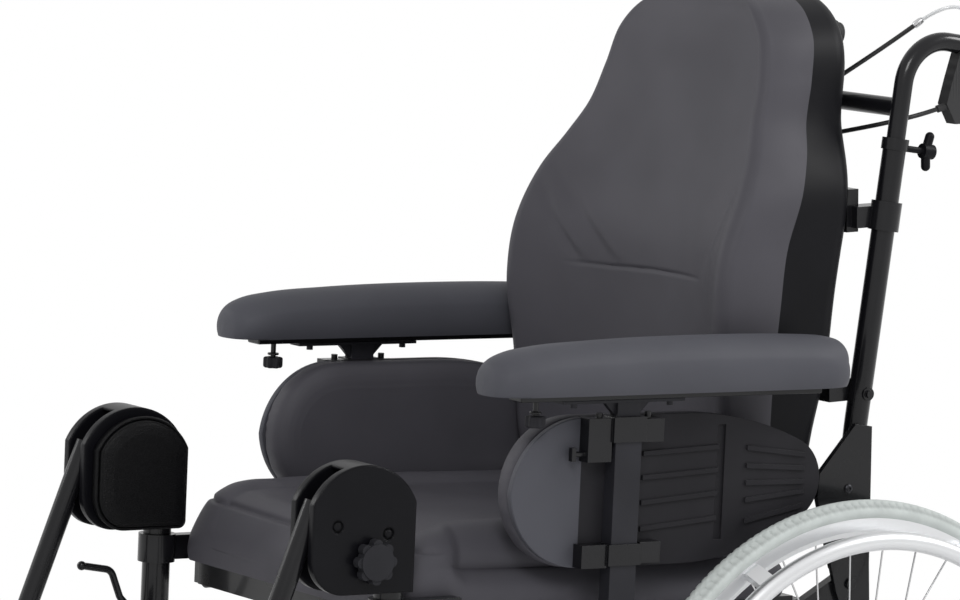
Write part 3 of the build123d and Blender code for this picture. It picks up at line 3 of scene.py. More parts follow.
import bpy
import numpy as np
from bpy.props import FloatProperty, FloatVectorProperty, IntProperty, PointerProperty
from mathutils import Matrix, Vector


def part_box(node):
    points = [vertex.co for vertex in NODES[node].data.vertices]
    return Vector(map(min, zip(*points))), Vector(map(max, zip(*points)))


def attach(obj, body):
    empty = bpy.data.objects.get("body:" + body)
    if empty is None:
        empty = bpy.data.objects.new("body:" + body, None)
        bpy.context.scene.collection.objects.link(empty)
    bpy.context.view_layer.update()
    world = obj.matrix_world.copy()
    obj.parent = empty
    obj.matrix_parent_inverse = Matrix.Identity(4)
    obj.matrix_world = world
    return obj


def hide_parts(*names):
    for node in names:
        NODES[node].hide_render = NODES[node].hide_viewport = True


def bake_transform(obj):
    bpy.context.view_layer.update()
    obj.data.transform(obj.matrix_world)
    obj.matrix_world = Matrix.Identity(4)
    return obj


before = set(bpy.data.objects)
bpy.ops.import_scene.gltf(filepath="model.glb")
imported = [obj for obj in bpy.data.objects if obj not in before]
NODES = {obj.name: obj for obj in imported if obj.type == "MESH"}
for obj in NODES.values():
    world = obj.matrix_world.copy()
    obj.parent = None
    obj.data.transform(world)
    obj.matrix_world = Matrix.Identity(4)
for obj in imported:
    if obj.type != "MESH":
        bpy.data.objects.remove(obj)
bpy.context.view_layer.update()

bl_info = {
    "name": "Tilt in space wheelchair",
    "version": (1, 0, 0),
    "blender": (4, 5, 0),
    "location": "3D View > Sidebar > Wheelchair",
    "description": "Upholstery, tyres, fittings and finishes for a tilting wheelchair",
    "category": "Object",
}

TYRE_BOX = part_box("rear_tyre_left")
AXLE_Y = (TYRE_BOX[0][1] + TYRE_BOX[1][1]) / 2

# The chair's own layout: millimetres, the rear axle over y = 0, the floor at z = 0, the sitter's left at +x.
SEAT_TILT = math.radians(3.0)
TILT_PIVOT = (-190.0, 440.0)
LEG_X = 232.0
KNEE = (-590.5, 587.0)
KNEE_INNER_X = 210.5
LEG_LEAN = math.radians(20.5)
POST_X = 257.0
PAD_BOTTOM = 719.5
GUARD_X = 240.0
SIDE_PAD_INNER = 206.0
CASTOR = (-385.0, 100.0)
SIDES = (("left", 1.0), ("right", -1.0))
# rear wheel: its radius, the tyre's middle plane, and the circle and radius of the tyre's section
WHEEL_RADIUS = 295.0
TYRE_X = 282.0
TYRE_RING = 282.5
TYRE_TUBE = 12.5
# the middle of a quarter round stands in from its corner by this share of the radius
BULGE = 0.293
# folds sharper than this are drawn as edges, on hard pieces and on soft ones
HARD_FOLD = math.radians(40)
SOFT_FOLD = math.radians(60)


# ---- places
def chair(points):
    """Chair layout in millimetres to the frame in metres: shift along y, then divide by a thousand."""
    return (np.asarray(points, float) + (0.0, AXLE_Y * 1000.0, 0.0)) / 1000.0


def tipped(points, pivot, angle):
    """Points turned about a pivot in (y, z), so that what stands above it leans back by the angle."""
    points = np.array(points, float)
    y, z = points[..., 1] - pivot[0], points[..., 2] - pivot[1]
    points[..., 1] = pivot[0] + y * math.cos(angle) + z * math.sin(angle)
    points[..., 2] = pivot[1] - y * math.sin(angle) + z * math.cos(angle)
    return points


def leaned(points):
    """Level seat layout to the chair layout: turned about the tilt pivot by the resting tilt."""
    return tipped(points, TILT_PIVOT, SEAT_TILT)


def at_knee(points):
    """Upright leg layout, knee pivot at the origin, to the level seat layout: turned by the leg's lean."""
    return tipped(np.asarray(points, float) + (LEG_X, *KNEE), KNEE, LEG_LEAN)


def sided(points, side):
    """The same points on the sitter's left, or mirrored in x to the right."""
    return np.asarray(points, float) * (side, 1.0, 1.0)


def seated(points, side):
    """Level seat layout of the sitter's left to the chair layout, on either side."""
    return leaned(sided(points, side))


# ---- surfaces
def spread(table, count):
    """Rows in between: a cubic through the table's rows with the slopes of its central differences, held to
    three times the flatter neighbour so that it never overshoots, stepped evenly along the rows."""
    table = np.asarray(table, float)
    steps = np.linalg.norm(np.diff(table[:, :3], axis=0), axis=1)
    at = np.concatenate(([0.0], np.cumsum(steps)))
    slope = np.gradient(table, at, axis=0)
    grade = np.abs(np.diff(table, axis=0) / steps[:, None])
    bound = 3 * np.minimum(np.vstack([grade[:1], grade]), np.vstack([grade, grade[-1:]]))
    slope = np.clip(slope, -bound, bound)
    s = np.linspace(0.0, at[-1], count)
    i = np.clip(np.searchsorted(at, s, side="right") - 1, 0, len(at) - 2)
    h = (at[i + 1] - at[i])[:, None]
    t = ((s - at[i]) / h[:, 0])[:, None]
    return ((2 * t**3 - 3 * t**2 + 1) * table[i] + (t**3 - 2 * t**2 + t) * h * slope[i]
            + (3 * t**2 - 2 * t**3) * table[i + 1] + (t**3 - t**2) * h * slope[i + 1])


def pairs(x, y):
    """One (x, y) per row from columns or single numbers."""
    x, y = np.broadcast_arrays(np.atleast_1d(x), np.atleast_1d(y))
    return np.stack([x, y], -1).astype(float)


def line(a, b, count):
    """Points from a towards b in equal steps, b left out."""
    a, b = np.broadcast_arrays(a, b)
    t = np.linspace(0.0, 1.0, count, endpoint=False)[None, :, None]
    return a[:, None] * (1 - t) + b[:, None] * t


def arc(a, b, c, count):
    """Points of the circle from a through b towards c, c left out: the centre is where the chords'
    perpendicular bisectors meet, and the angle grows evenly."""
    a, b, c = np.broadcast_arrays(a, b, c)
    sa, sb, sc = (a**2).sum(1), (b**2).sum(1), (c**2).sum(1)
    d = 2 * (a[:, 0] * (b[:, 1] - c[:, 1]) + b[:, 0] * (c[:, 1] - a[:, 1]) + c[:, 0] * (a[:, 1] - b[:, 1]))
    d = np.where(np.abs(d) < 1e-6, 1e-6, d)
    centre = np.stack([
        (sa * (b[:, 1] - c[:, 1]) + sb * (c[:, 1] - a[:, 1]) + sc * (a[:, 1] - b[:, 1])) / d,
        (sa * (c[:, 0] - b[:, 0]) + sb * (a[:, 0] - c[:, 0]) + sc * (b[:, 0] - a[:, 0])) / d], -1)
    arm, end = a - centre, c - centre
    start = np.arctan2(arm[:, 1], arm[:, 0])
    turn = np.where(d > 0, 1.0, -1.0)
    sweep = np.mod((np.arctan2(end[:, 1], end[:, 0]) - start) * turn, 2 * math.pi) * turn
    t = np.linspace(0.0, 1.0, count, endpoint=False)[None, :]
    angle = start[:, None] + sweep[:, None] * t
    radius = np.linalg.norm(arm, axis=1)[:, None]
    return centre[:, None] + np.stack([radius * np.cos(angle), radius * np.sin(angle)], -1)


def section(base, right, over):
    """A section that is its own mirror image: a base line, the arcs up its right side, the arc over its
    middle, and the right-hand arcs mirrored and run back down. An arc is its three points and its count."""
    flip = np.array((-1.0, 1.0))
    left = [(c * flip, b * flip, a * flip, count) for a, b, c, count in reversed(right)]
    return np.concatenate([base, *(arc(*run) for run in (*right, over, *left))], 1)


def stood(flat, y):
    """Sections in (x, z), each at its own y."""
    return np.stack([flat[..., 0], np.broadcast_to(y[:, None], flat.shape[:2]), flat[..., 1]], -1)


def swept(path, section, normal, closed=False):
    """A section carried along a path: it lies square to the path, its second axis nearest the normal."""
    path = np.asarray(path, float)
    along = np.roll(path, -1, 0) - np.roll(path, 1, 0) if closed else np.gradient(path, axis=0)
    along /= np.linalg.norm(along, axis=1)[:, None]
    side = np.cross(along, np.asarray(normal, float))
    side /= np.linalg.norm(side, axis=1)[:, None]
    up = np.cross(side, along)
    section = np.asarray(section, float)
    return path[:, None] + section[None, :, :1] * side[:, None] + section[None, :, 1:] * up[:, None]


def ring(radius, count):
    """Section of a round cord: points evenly round a circle."""
    angle = np.linspace(0.0, 2 * math.pi, count, endpoint=False)
    return np.stack([radius * np.cos(angle), radius * np.sin(angle)], -1)


def turned(profile, start, axis, count=24):
    """A profile of (distance along the axis, radius) turned about the axis from its start."""
    profile = np.asarray(profile, float)
    axis = np.asarray(axis, float) / np.linalg.norm(axis)
    u = np.cross(axis, (0.0, 0.0, 1.0) if abs(axis[2]) < 0.9 else (0.0, 1.0, 0.0))
    u /= np.linalg.norm(u)
    v = np.cross(axis, u)
    angle = np.linspace(0.0, 2 * math.pi, count, endpoint=False)
    around = np.cos(angle)[:, None] * u + np.sin(angle)[:, None] * v
    return np.asarray(start, float) + profile[:, :1, None] * axis + profile[:, 1:, None] * around[None]


def bar(lo, hi, corner, axis=1):
    """A bar between two corners with rounded long edges and bevelled ends, drawn along one axis."""
    lo, hi = np.minimum(lo, hi).astype(float), np.maximum(lo, hi).astype(float)
    first, second = [k for k in range(3) if k != axis]
    centre = (lo + hi) / 2
    half = (hi - lo) / 2
    quarter = np.linspace(0.0, math.pi / 2, 5)
    angle = np.concatenate([quarter + k * math.pi / 2 for k in range(4)])
    sx = np.repeat((1, -1, -1, 1), 5)
    sy = np.repeat((1, 1, -1, -1), 5)
    rows = []
    for along, shrink in ((-1.0, corner), (-1.0, 0.0), (1.0, 0.0), (1.0, corner)):
        row = np.zeros((20, 3))
        row[:, first] = centre[first] + sx * (half[first] - corner) + (corner - shrink) * np.cos(angle)
        row[:, second] = centre[second] + sy * (half[second] - corner) + (corner - shrink) * np.sin(angle)
        row[:, axis] = centre[axis] + along * (half[axis] - (0.0 if shrink else corner))
        rows.append(row)
    return np.array(rows)


def pillow(outline, profile, drop):
    """A crowned pad: outlines stacked in x, each drawn in by the profile's inset and then scaled about the
    outline's middle. Profile rows are (share of the depth, inset, scale)."""
    profile = np.asarray(profile, float)
    flat = outline(profile[:, 1])
    middle = flat.mean(1, keepdims=True)
    flat = middle + (flat - middle) * profile[:, 2][:, None, None]
    x = np.broadcast_to((drop[0] + (drop[1] - drop[0]) * profile[:, 0])[:, None], flat.shape[:2])
    return np.concatenate([x[..., None], flat], -1)


def quads(rows, cols, looped):
    """Corner numbers of a grid's quads: its columns wrap round, and its rows too where it is looped."""
    i, j = np.meshgrid(np.arange(rows if looped else rows - 1), np.arange(cols), indexing="ij")
    after_i, after_j = (i + 1) % rows, (j + 1) % cols
    corners = [i * cols + j, after_i * cols + j, after_i * cols + after_j, i * cols + after_j]
    return np.stack(corners, -1).reshape(-1, 4)


def patch(grid, looped=False):
    """Points and faces of one closed shell from a grid whose columns wrap round: its ends are fans of
    triangles about their middles unless its rows loop too. Faces are turned to point outwards, by the sign
    of the volume that they enclose."""
    grid = np.asarray(grid, float)
    rows, cols = grid.shape[:2]
    points = grid.reshape(-1, 3)
    squares = quads(rows, cols, looped)
    fans = np.zeros((0, 3), int)
    if not looped:
        count = len(points)
        points = np.vstack([points, grid[0].mean(0), grid[-1].mean(0)])
        j = np.arange(cols)
        after = (j + 1) % cols
        last = (rows - 1) * cols
        fans = np.vstack([np.stack([after, j, np.full(cols, count)], -1),
                          np.stack([last + j, last + after, np.full(cols, count + 1)], -1)])
    tri = np.vstack([squares[:, [0, 1, 2]], squares[:, [0, 2, 3]], fans])
    a, b, c = (points[tri[:, k]] for k in range(3))
    if np.einsum("ij,ij->i", a, np.cross(b, c)).sum() < 0:
        squares, fans = squares[:, ::-1], fans[:, ::-1]
    return points, squares, fans


def piece(name, shells, finish, body, fold=HARD_FOLD):
    """One object from closed shells, in the frame at the origin, dressed and riding on its body, if one is
    named. A shell is a grid, or a (grid, looped) pair, in chair millimetres."""
    points, squares, fans, count = [], [], [], 0
    for shell in shells:
        grid, looped = shell if isinstance(shell, tuple) else (shell, False)
        p, s, f = patch(chair(grid), looped)
        points.append(p)
        squares.append(s + count)
        fans.append(f + count)
        count += len(p)
    mesh = bpy.data.meshes.new(name)
    faces = np.vstack(squares).tolist() + np.vstack(fans).tolist()
    mesh.from_pydata(np.vstack(points).tolist(), [], faces)
    mesh.polygons.foreach_set("use_smooth", np.ones(len(mesh.polygons), bool))
    mesh.set_sharp_from_angle(angle=fold)
    obj = bpy.data.objects.new(name, mesh)
    bpy.context.scene.collection.objects.link(obj)
    mesh.materials.append(bpy.data.materials[finish])
    if body:
        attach(obj, body)
    return obj


def cushion(name, grid, body, node, finish="charcoal leatherette"):
    """A padded piece of one soft shell, which stands for its CAD node, if one is named."""
    obj = piece(name, [grid], finish, body, SOFT_FOLD)
    if node:
        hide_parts(node)


# ---- shader maths
class Value:
    """A shader value that takes part in ordinary arithmetic; each operation adds one Math node."""

    def __init__(self, tree, socket):
        self.tree = tree
        self.socket = socket

    def maths(self, operation, *others, clamp=False, swap=False):
        """The result of one Math node on this value and the others, in reverse order if swapped."""
        node = self.tree.nodes.new("ShaderNodeMath")
        node.operation = operation
        node.use_clamp = clamp
        terms = [self, *others]
        if swap:
            terms.reverse()
        for k, term in enumerate(terms):
            if isinstance(term, Value):
                self.tree.links.new(term.socket, node.inputs[k])
            else:
                node.inputs[k].default_value = term
        return Value(self.tree, node.outputs[0])

    def __add__(self, other):
        return self.maths("ADD", other)

    __radd__ = __add__

    def __mul__(self, other):
        return self.maths("MULTIPLY", other)

    __rmul__ = __mul__

    def __sub__(self, other):
        return self.maths("SUBTRACT", other)

    def __rsub__(self, other):
        return self.maths("SUBTRACT", other, swap=True)

    def between(self, low, high):
        """0 below low and 1 above high, smooth in between."""
        share = (self - low).maths("DIVIDE", high - low, clamp=True)
        return share * share * (3.0 - 2.0 * share)


def colour_of(value):
    """A colour socket's input: a link as it is, or three numbers made opaque."""
    return value if isinstance(value, Value) else (*value, 1.0)


class Nodes:
    """The node tree of a new material or world, emptied."""

    def __init__(self, owner):
        owner.use_nodes = True
        self.tree = owner.node_tree
        self.tree.nodes.clear()

    def add(self, kind, settings=None, inputs=None, output=0):
        """One node of any type: its settings first, then the values or links of its sockets."""
        node = self.tree.nodes.new(kind)
        for key, value in (settings or {}).items():
            setattr(node, key, value)
        for key, value in (inputs or {}).items():
            if isinstance(value, Value):
                self.tree.links.new(value.socket, node.inputs[key])
            else:
                node.inputs[key].default_value = value
        return Value(self.tree, node.outputs[output]) if len(node.outputs) else None


class Finish(Nodes):
    """A procedural material under construction."""

    def __init__(self, name):
        super().__init__(bpy.data.materials.new(name))
        self.place = self.add("ShaderNodeTexCoord", output="Object")

    def noise(self, scale, detail=2.0, rough=0.5):
        """Soft noise about one half, with cells about 1/scale metres across."""
        return self.add("ShaderNodeTexNoise", inputs={"Vector": self.place, "Scale": scale,
                                                      "Detail": detail, "Roughness": rough})

    def cells(self, scale, at=None):
        """Distance to the edge of cells about 1/scale metres across."""
        return self.add("ShaderNodeTexVoronoi", {"feature": "DISTANCE_TO_EDGE"},
                        {"Vector": at or self.place, "Scale": scale})

    def axis(self, name):
        """One coordinate of the object, in metres."""
        return self.add("ShaderNodeSeparateXYZ", inputs={0: self.place}, output=name)

    def blend(self, mask, first, second):
        """Colour that goes from the first to the second as the mask goes from 0 to 1."""
        return self.add("ShaderNodeMix", {"data_type": "RGBA"},
                        {0: mask, 6: colour_of(first), 7: colour_of(second)}, output=2)

    def bump(self, height, depth, under=None):
        """Normal bumped by a height of 0 to 1 that stands for the depth in metres."""
        inputs = {"Height": height, "Distance": depth, "Strength": 1.0}
        if under is not None:
            inputs["Normal"] = under
        return self.add("ShaderNodeBump", inputs=inputs)

    def rounded(self, radius):
        """Normal that rounds sharp edges by a radius in metres."""
        return self.add("ShaderNodeBevel", {"samples": 4}, {"Radius": radius})

    def finish(self, colour, rough, normal, metal=0.0, coat=0.0, coat_rough=0.1, specular=0.5, alpha=1.0):
        """The surface itself; values may be numbers, colours or links."""
        surface = self.add("ShaderNodeBsdfPrincipled", inputs={
            "Base Color": colour_of(colour), "Roughness": rough,
            "Normal": normal, "Metallic": metal, "Coat Weight": coat, "Coat Roughness": coat_rough,
            "Specular IOR Level": specular, "Alpha": alpha})
        self.add("ShaderNodeOutputMaterial", inputs={"Surface": surface})


def shaded(colour, share):
    """A colour darkened or brightened by a factor."""
    return tuple(share * c for c in colour)


def leatherette(name, base, shade):
    """Smooth coated upholstery: fine pebble grain, a dull sheen, and soft clouding down to a share of the
    colour."""
    f = Finish(name)
    cloud = f.noise(9.0, 3.0)
    grain = f.cells(1150.0).between(0.0, 0.35)
    fine = f.noise(2600.0, 2.0)
    colour = f.blend(cloud.between(0.3, 0.7), base, shaded(base, shade))
    normal = f.bump(grain * 0.8 + fine * 0.2, 0.00006)
    f.finish(colour, 0.5 + 0.1 * cloud, normal, specular=0.2)


def grained_leather(name, base):
    """Black grained leather: rounded pebbles about two millimetres across, duller in places."""
    f = Finish(name)
    swirl = f.add("ShaderNodeTexNoise", inputs={"Vector": f.place, "Scale": 300.0}, output="Color")
    wobble = f.add("ShaderNodeMix", {"data_type": "VECTOR"}, {0: 0.004, 4: f.place, 5: swirl}, output=1)
    pebble = f.cells(420.0, wobble).between(0.0, 0.3)
    fine = f.noise(1500.0, 3.0)
    wear = f.noise(30.0, 2.0)
    colour = f.blend(pebble, shaded(base, 0.45), base)
    normal = f.bump(pebble * 0.85 + fine * 0.15, 0.00035)
    f.finish(colour, 0.34 + 0.16 * wear, normal, coat=0.03, coat_rough=0.3, specular=0.15)


def powder_coat(name, base, rough, coat):
    """Powder coating: faint orange peel, patches a little brighter and duller, rounded edges."""
    f = Finish(name)
    peel = f.noise(650.0, 2.0)
    patches = f.noise(18.0, 3.0)
    colour = f.blend(patches.between(0.35, 0.75), base, shaded(base, 1.35))
    normal = f.bump(peel, 0.00003, f.rounded(0.0009))
    f.finish(colour, rough + 0.08 * patches, normal, coat=coat, coat_rough=0.08, specular=0.2)


def moulded(name, base, rough, texture, edge=0.0008):
    """Moulded plastic: spark-eroded texture, soft clouding and rounded edges."""
    f = Finish(name)
    grit = f.noise(1900.0, 3.0, 0.6)
    patches = f.noise(14.0, 2.0)
    colour = f.blend(patches.between(0.3, 0.7), base, shaded(base, 1.3))
    normal = f.bump(grit, texture, f.rounded(edge))
    f.finish(colour, rough + 0.1 * patches, normal, specular=0.12)


def metal(name, base, rough, brushed, share=1.0):
    """Bare or plated metal: brushed streaks, fine scratches and rounded edges."""
    f = Finish(name)
    streaks = f.noise(brushed, 4.0, 0.7)
    marks = f.noise(70.0, 2.0)
    colour = f.blend(streaks, shaded(base, 0.88), base)
    normal = f.bump(streaks, 0.00002, f.rounded(0.0006))
    f.finish(colour, rough + 0.12 * marks, normal, metal=share)


def tyre_rubber(name, base):
    """Pale matt rubber: a dusty bloom, and a darker band round the tyre across the blocks of its shoulders.
    """
    f = Finish(name)
    dust = f.noise(40.0, 4.0)
    pores = f.noise(1400.0, 3.0)
    y = f.axis("Y") - AXLE_Y
    z = f.axis("Z") - WHEEL_RADIUS / 1000.0
    radius = (y * y + z * z).maths("SQRT")
    tread = radius.between(0.2885, 0.2945)
    # darker in a band round the tyre, from the crown's edge down over the shoulder blocks
    shoulder_band = (1.0 - tread) * radius.between(0.286, 0.2895)
    colour = f.blend(dust.between(0.3, 0.8), base, shaded(base, 0.86))
    colour = f.blend(shoulder_band * 0.55, colour, shaded(base, 0.45))
    f.finish(colour, 0.62 + 0.15 * dust, f.bump(pores, 0.00005))


def castor_finish(name):
    """Castor wheel: a grey solid tyre outside the hub's radius and a dark moulded hub within."""
    f = Finish(name)
    y = f.axis("Y") - (AXLE_Y + CASTOR[0] / 1000.0)
    z = f.axis("Z") - CASTOR[1] / 1000.0
    radius = (y * y + z * z).maths("SQRT")
    outside = radius.between(0.0725, 0.0735)
    clouds = f.noise(60.0, 2.0)
    colour = f.blend(outside, (0.022, 0.022, 0.025), (0.23, 0.24, 0.24))
    colour = f.blend(clouds * 0.25, colour, (0.06, 0.06, 0.06))
    f.finish(colour, 0.45 + 0.2 * outside, f.bump(f.noise(1200.0, 3.0), 0.00006, f.rounded(0.0012)))


def ribbed_grip(name):
    """Rubber grip: closely turned ribs along its length, matt black."""
    f = Finish(name)
    ribs = (f.axis("Y") * 1700.0).maths("SINE") * 0.5 + 0.5
    under = f.axis("Z").between(0.99, 1.02)
    colour = f.blend(f.noise(25.0, 2.0), (0.012, 0.012, 0.013), (0.022, 0.022, 0.023))
    f.finish(colour, 0.6 + 0.1 * f.noise(60.0, 2.0), f.bump(ribs * under, 0.0006, f.rounded(0.001)))


def cable_skin(name):
    """Cable housing: smooth black jacket."""
    f = Finish(name)
    jacket = f.noise(200.0, 2.0)
    f.finish((0.012, 0.012, 0.013), 0.3 + 0.1 * jacket, f.bump(jacket, 0.00005))


def clear_sleeve(name):
    """Clear plastic sleeve over the bare wire."""
    f = Finish(name)
    haze = f.noise(300.0, 2.0)
    f.finish((0.85, 0.87, 0.88), 0.12 + 0.1 * haze, f.bump(haze, 0.00004), alpha=0.45 + 0.2 * haze)


def floor_finish(name):
    """Pale studio floor that fades to plain white away from the chair."""
    f = Finish(name)
    x, y = f.axis("X"), f.axis("Y")
    away = (x * x + y * y).maths("SQRT").between(1.1, 2.6)
    speck = f.noise(8.0, 3.0)
    colour = f.blend(speck, (0.80, 0.80, 0.80), (0.84, 0.84, 0.84))
    ground = f.add("ShaderNodeBsdfDiffuse", inputs={"Color": colour})
    white = f.add("ShaderNodeEmission", inputs={"Color": (1, 1, 1, 1), "Strength": 1.0})
    mixed = f.add("ShaderNodeMixShader", inputs={0: away, 1: ground, 2: white})
    f.add("ShaderNodeOutputMaterial", inputs={"Surface": mixed})


CAD_FINISHES = {
    "gloss black": ("axle_mounts", "chassis_frame", "brake_lever", "seat_frame", "legrest_post", "leg_tube",
                    "release_lever", "back_frame", "push_bar", "tilt_spring_cylinder",
                    "recline_spring_cylinder", "shell_clamps", "side_guard_clamps", "seat_board"),
    "dark grey coat": ("armrest_outer_posts", "arm_post"),
    "alloy": ("rear_rim", "handrim", "castor_fork"),
    "bright steel": ("quick_release_axles", "rear_hub", "lower_leg", "tilt_spring_rod", "recline_spring_rod"),
    "tyre rubber": ("rear_tyre",),
    "castor": ("castor_wheel",),
    "charcoal leatherette": ("seat_cushion", "back_cushion", "side_guard_pads", "calf_pad"),
    "slate leatherette": ("arm_pad",),
    "knee leather": ("knee_pad",),
    "guard plastic": ("side_guards",),
    "black plastic": ("back_shell", "height_knobs", "trigger", "footplate"),
    "knee plastic": ("knee_housing",),
    "knob plastic": ("knee_knob",),
    "grip rubber": ("handle_grips",),
    "cable": ("release_cables",),
}


def stem(node):
    """A node's name without its side."""
    return node.removesuffix("_left").removesuffix("_right")


class ChairLook(bpy.types.PropertyGroup):
    """Colours and sizes of the chair's upholstery and finishes."""

    upholstery: FloatVectorProperty(
        name="Upholstery", description="Seat, back and side pads", subtype="COLOR",
        default=(0.066, 0.064, 0.075), min=0, max=1)
    arm_colour: FloatVectorProperty(
        name="Arm pads", description="Leatherette of the arm pads", subtype="COLOR",
        default=(0.070, 0.071, 0.084), min=0, max=1)
    frame_colour: FloatVectorProperty(
        name="Frame", description="Powder coat of the frame", subtype="COLOR",
        default=(0.0045, 0.0045, 0.0056), min=0, max=1)
    tyre_colour: FloatVectorProperty(
        name="Tyres", description="Rubber of the rear tyres", subtype="COLOR",
        default=(0.56, 0.60, 0.585), min=0, max=1)
    tread_blocks: IntProperty(
        name="Tread blocks", description="Blocks round each tyre's shoulder", default=190, min=60, max=400)
    tread_depth: FloatProperty(
        name="Tread depth", description="Depth of the tread's grooves", default=0.0016, min=0.0, max=0.004,
        subtype="DISTANCE", unit="LENGTH")
    piping: FloatProperty(
        name="Piping", description="Radius of the knee pads' piping", default=0.0021, min=0.0005, max=0.005,
        subtype="DISTANCE", unit="LENGTH")


def look():
    """The scene's chosen colours and sizes."""
    return bpy.context.scene.chair_look


class CHAIR_OT_finishes(bpy.types.Operator):
    """Make every material and put one on each CAD part."""

    bl_idname = "chair.finishes"
    bl_label = "Finishes"

    def execute(self, context):
        settings = look()
        leatherette("charcoal leatherette", tuple(settings.upholstery), 0.88)
        leatherette("slate leatherette", tuple(settings.arm_colour), 0.9)
        grained_leather("knee leather", (0.0028, 0.0028, 0.0036))
        powder_coat("gloss black", tuple(settings.frame_colour), 0.24, 0.3)
        powder_coat("dark grey coat", (0.016, 0.016, 0.020), 0.45, 0.05)
        moulded("black plastic", (0.0042, 0.0042, 0.0055), 0.4, 0.00006)
        moulded("guard plastic", (0.016, 0.0155, 0.018), 0.4, 0.00006)
        moulded("knee plastic", (0.0036, 0.0036, 0.0048), 0.26, 0.00002, 0.004)
        moulded("knob plastic", (0.018, 0.018, 0.021), 0.5, 0.00009)
        metal("alloy", (0.88, 0.89, 0.90), 0.22, 260.0, 0.55)
        metal("bright steel", (0.66, 0.66, 0.67), 0.18, 400.0)
        metal("dark screw", (0.05, 0.05, 0.055), 0.3, 500.0)
        tyre_rubber("tyre rubber", tuple(settings.tyre_colour))
        castor_finish("castor")
        ribbed_grip("grip rubber")
        cable_skin("cable")
        clear_sleeve("clear sleeve")
        floor_finish("studio floor")
        names = {part: finish for finish, parts in CAD_FINISHES.items() for part in parts}
        for node, obj in NODES.items():
            obj.data.materials.clear()
            obj.data.materials.append(bpy.data.materials[names[stem(node)]])
        return {"FINISHED"}


# ---- cushions
# y, half width: base, widest, shoulder; z: shoulder, bolster, middle
SEAT_ROWS = (
    (-521, 196, 203, 200, 500, 506, 508),
    (-517.5, 203, 210.5, 207.5, 509, 521, 521),
    (-512, 208, 216, 213, 518, 533, 532),
    (-500, 211, 220, 217, 530, 552, 549),
    (-480, 213, 222, 218, 538, 566, 562),
    (-458, 213, 222, 214, 540, 572, 566),
    (-436, 213, 221, 199, 534, 575, 568),
    (-330, 213, 221, 198, 532, 577, 567),
    (-180, 213, 221, 198, 531, 575, 564),
    (-80, 212, 221, 198, 530, 573, 565),
    (-48, 208, 217, 196, 528, 565, 561),
    (-35, 203, 209, 194, 524, 546, 545),
)
SEAT_BASE = 488.8
BOLSTER = 52.0
# the curved seam over the seat's front: from this y forward, its z in the middle and how far its ends rise
SEAT_SEAM_Y = -440.0
SEAT_SEAM_Z = 551.0
SEAT_SEAM_RISE = 4.0
# z, half width, wing front y, middle front y, rim y
BACK_ROWS = (
    (580, 196, -92, -80, -46),
    (600, 201, -100, -84, -47),
    (650, 203, -105, -78, -46),
    (703, 205, -107, -72, -44),
    (787, 210, -113, -64, -38),
    (844, 207, -105, -58, -28),
    (904, 199, -76, -42, -2),
    (942, 181, -52, -32, 16),
    (976, 163, -35, -23, 28),
    (1018, 153, -20, -12, 42),
    (1060, 139, -10, -4, 54),
    (1086, 113, -1, 3, 62),
    (1101, 78, 12, 14, 69),
    (1109, 40, 28, 30, 76),
)


def crease(u, v, path, width, depth):
    """Depth of a crease along a path of (u, v) points: a Gaussian of the distance to the nearest segment,
    fading out towards the path's two ends."""
    path = np.asarray(path, float)
    total = np.linalg.norm(np.diff(path, axis=0), axis=1).sum()
    best, run, fade = np.full(u.shape, np.inf), 0.0, np.zeros(u.shape)
    for a, b in zip(path[:-1], path[1:]):
        length = np.linalg.norm(b - a)
        along = np.clip(((u - a[0]) * (b[0] - a[0]) + (v - a[1]) * (b[1] - a[1])) / length**2, 0.0, 1.0)
        away = np.hypot(u - a[0] - along * (b[0] - a[0]), v - a[1] - along * (b[1] - a[1]))
        near = away < best
        share = np.clip((run + along * length) / total, 0.02, 0.98)
        fade = np.where(near, np.sin(math.pi * share) ** 0.5, fade)
        best = np.where(near, away, best)
        run += length
    return depth * fade * np.exp(-(best / width) ** 2)


# x, z of the stitched seam and of the folds in the back cushion: path, width, depth
LUMBAR_SEAM = ((-126, 805), (-60, 805.5), (0, 808), (60, 809.5), (118, 811))
BACK_FOLDS = (
    (((-176, 884), (-142, 843), (-112, 808)), 6, 3.2),
    (((-160, 868), (-128, 836), (-100, 812)), 5, -2.2),
    (((-168, 903), (-108, 851), (-64, 812)), 7, 2.4),
    (((-110, 862), (-70, 830), (-45, 812)), 6, -1.5),
    (((168, 905), (150, 860), (128, 815)), 6, 2.6),
    (((182, 890), (166, 850), (150, 800)), 5, -1.8),
)


def seat_grid(rows):
    """Seat cushion: sections of a flat base, bowed sides, two bolsters and a dished middle."""
    y, base, wide, top, shoulder, bolster, middle = rows.T
    inner = top - BOLSTER
    valley = middle + 0.35 * (bolster - middle)
    crest = top - 0.36 * BOLSTER
    mid_z = (SEAT_BASE + shoulder) / 2
    flat = section(
        line(pairs(-base, SEAT_BASE), pairs(base, SEAT_BASE), 30),
        [(pairs(base, SEAT_BASE), pairs(wide, mid_z), pairs(top, shoulder), 18),
         (pairs(top, shoulder), pairs(crest, bolster), pairs(inner, valley), 26)],
        (pairs(inner, valley), pairs(0, middle), pairs(-inner, valley), 60))
    return stood(flat, y)


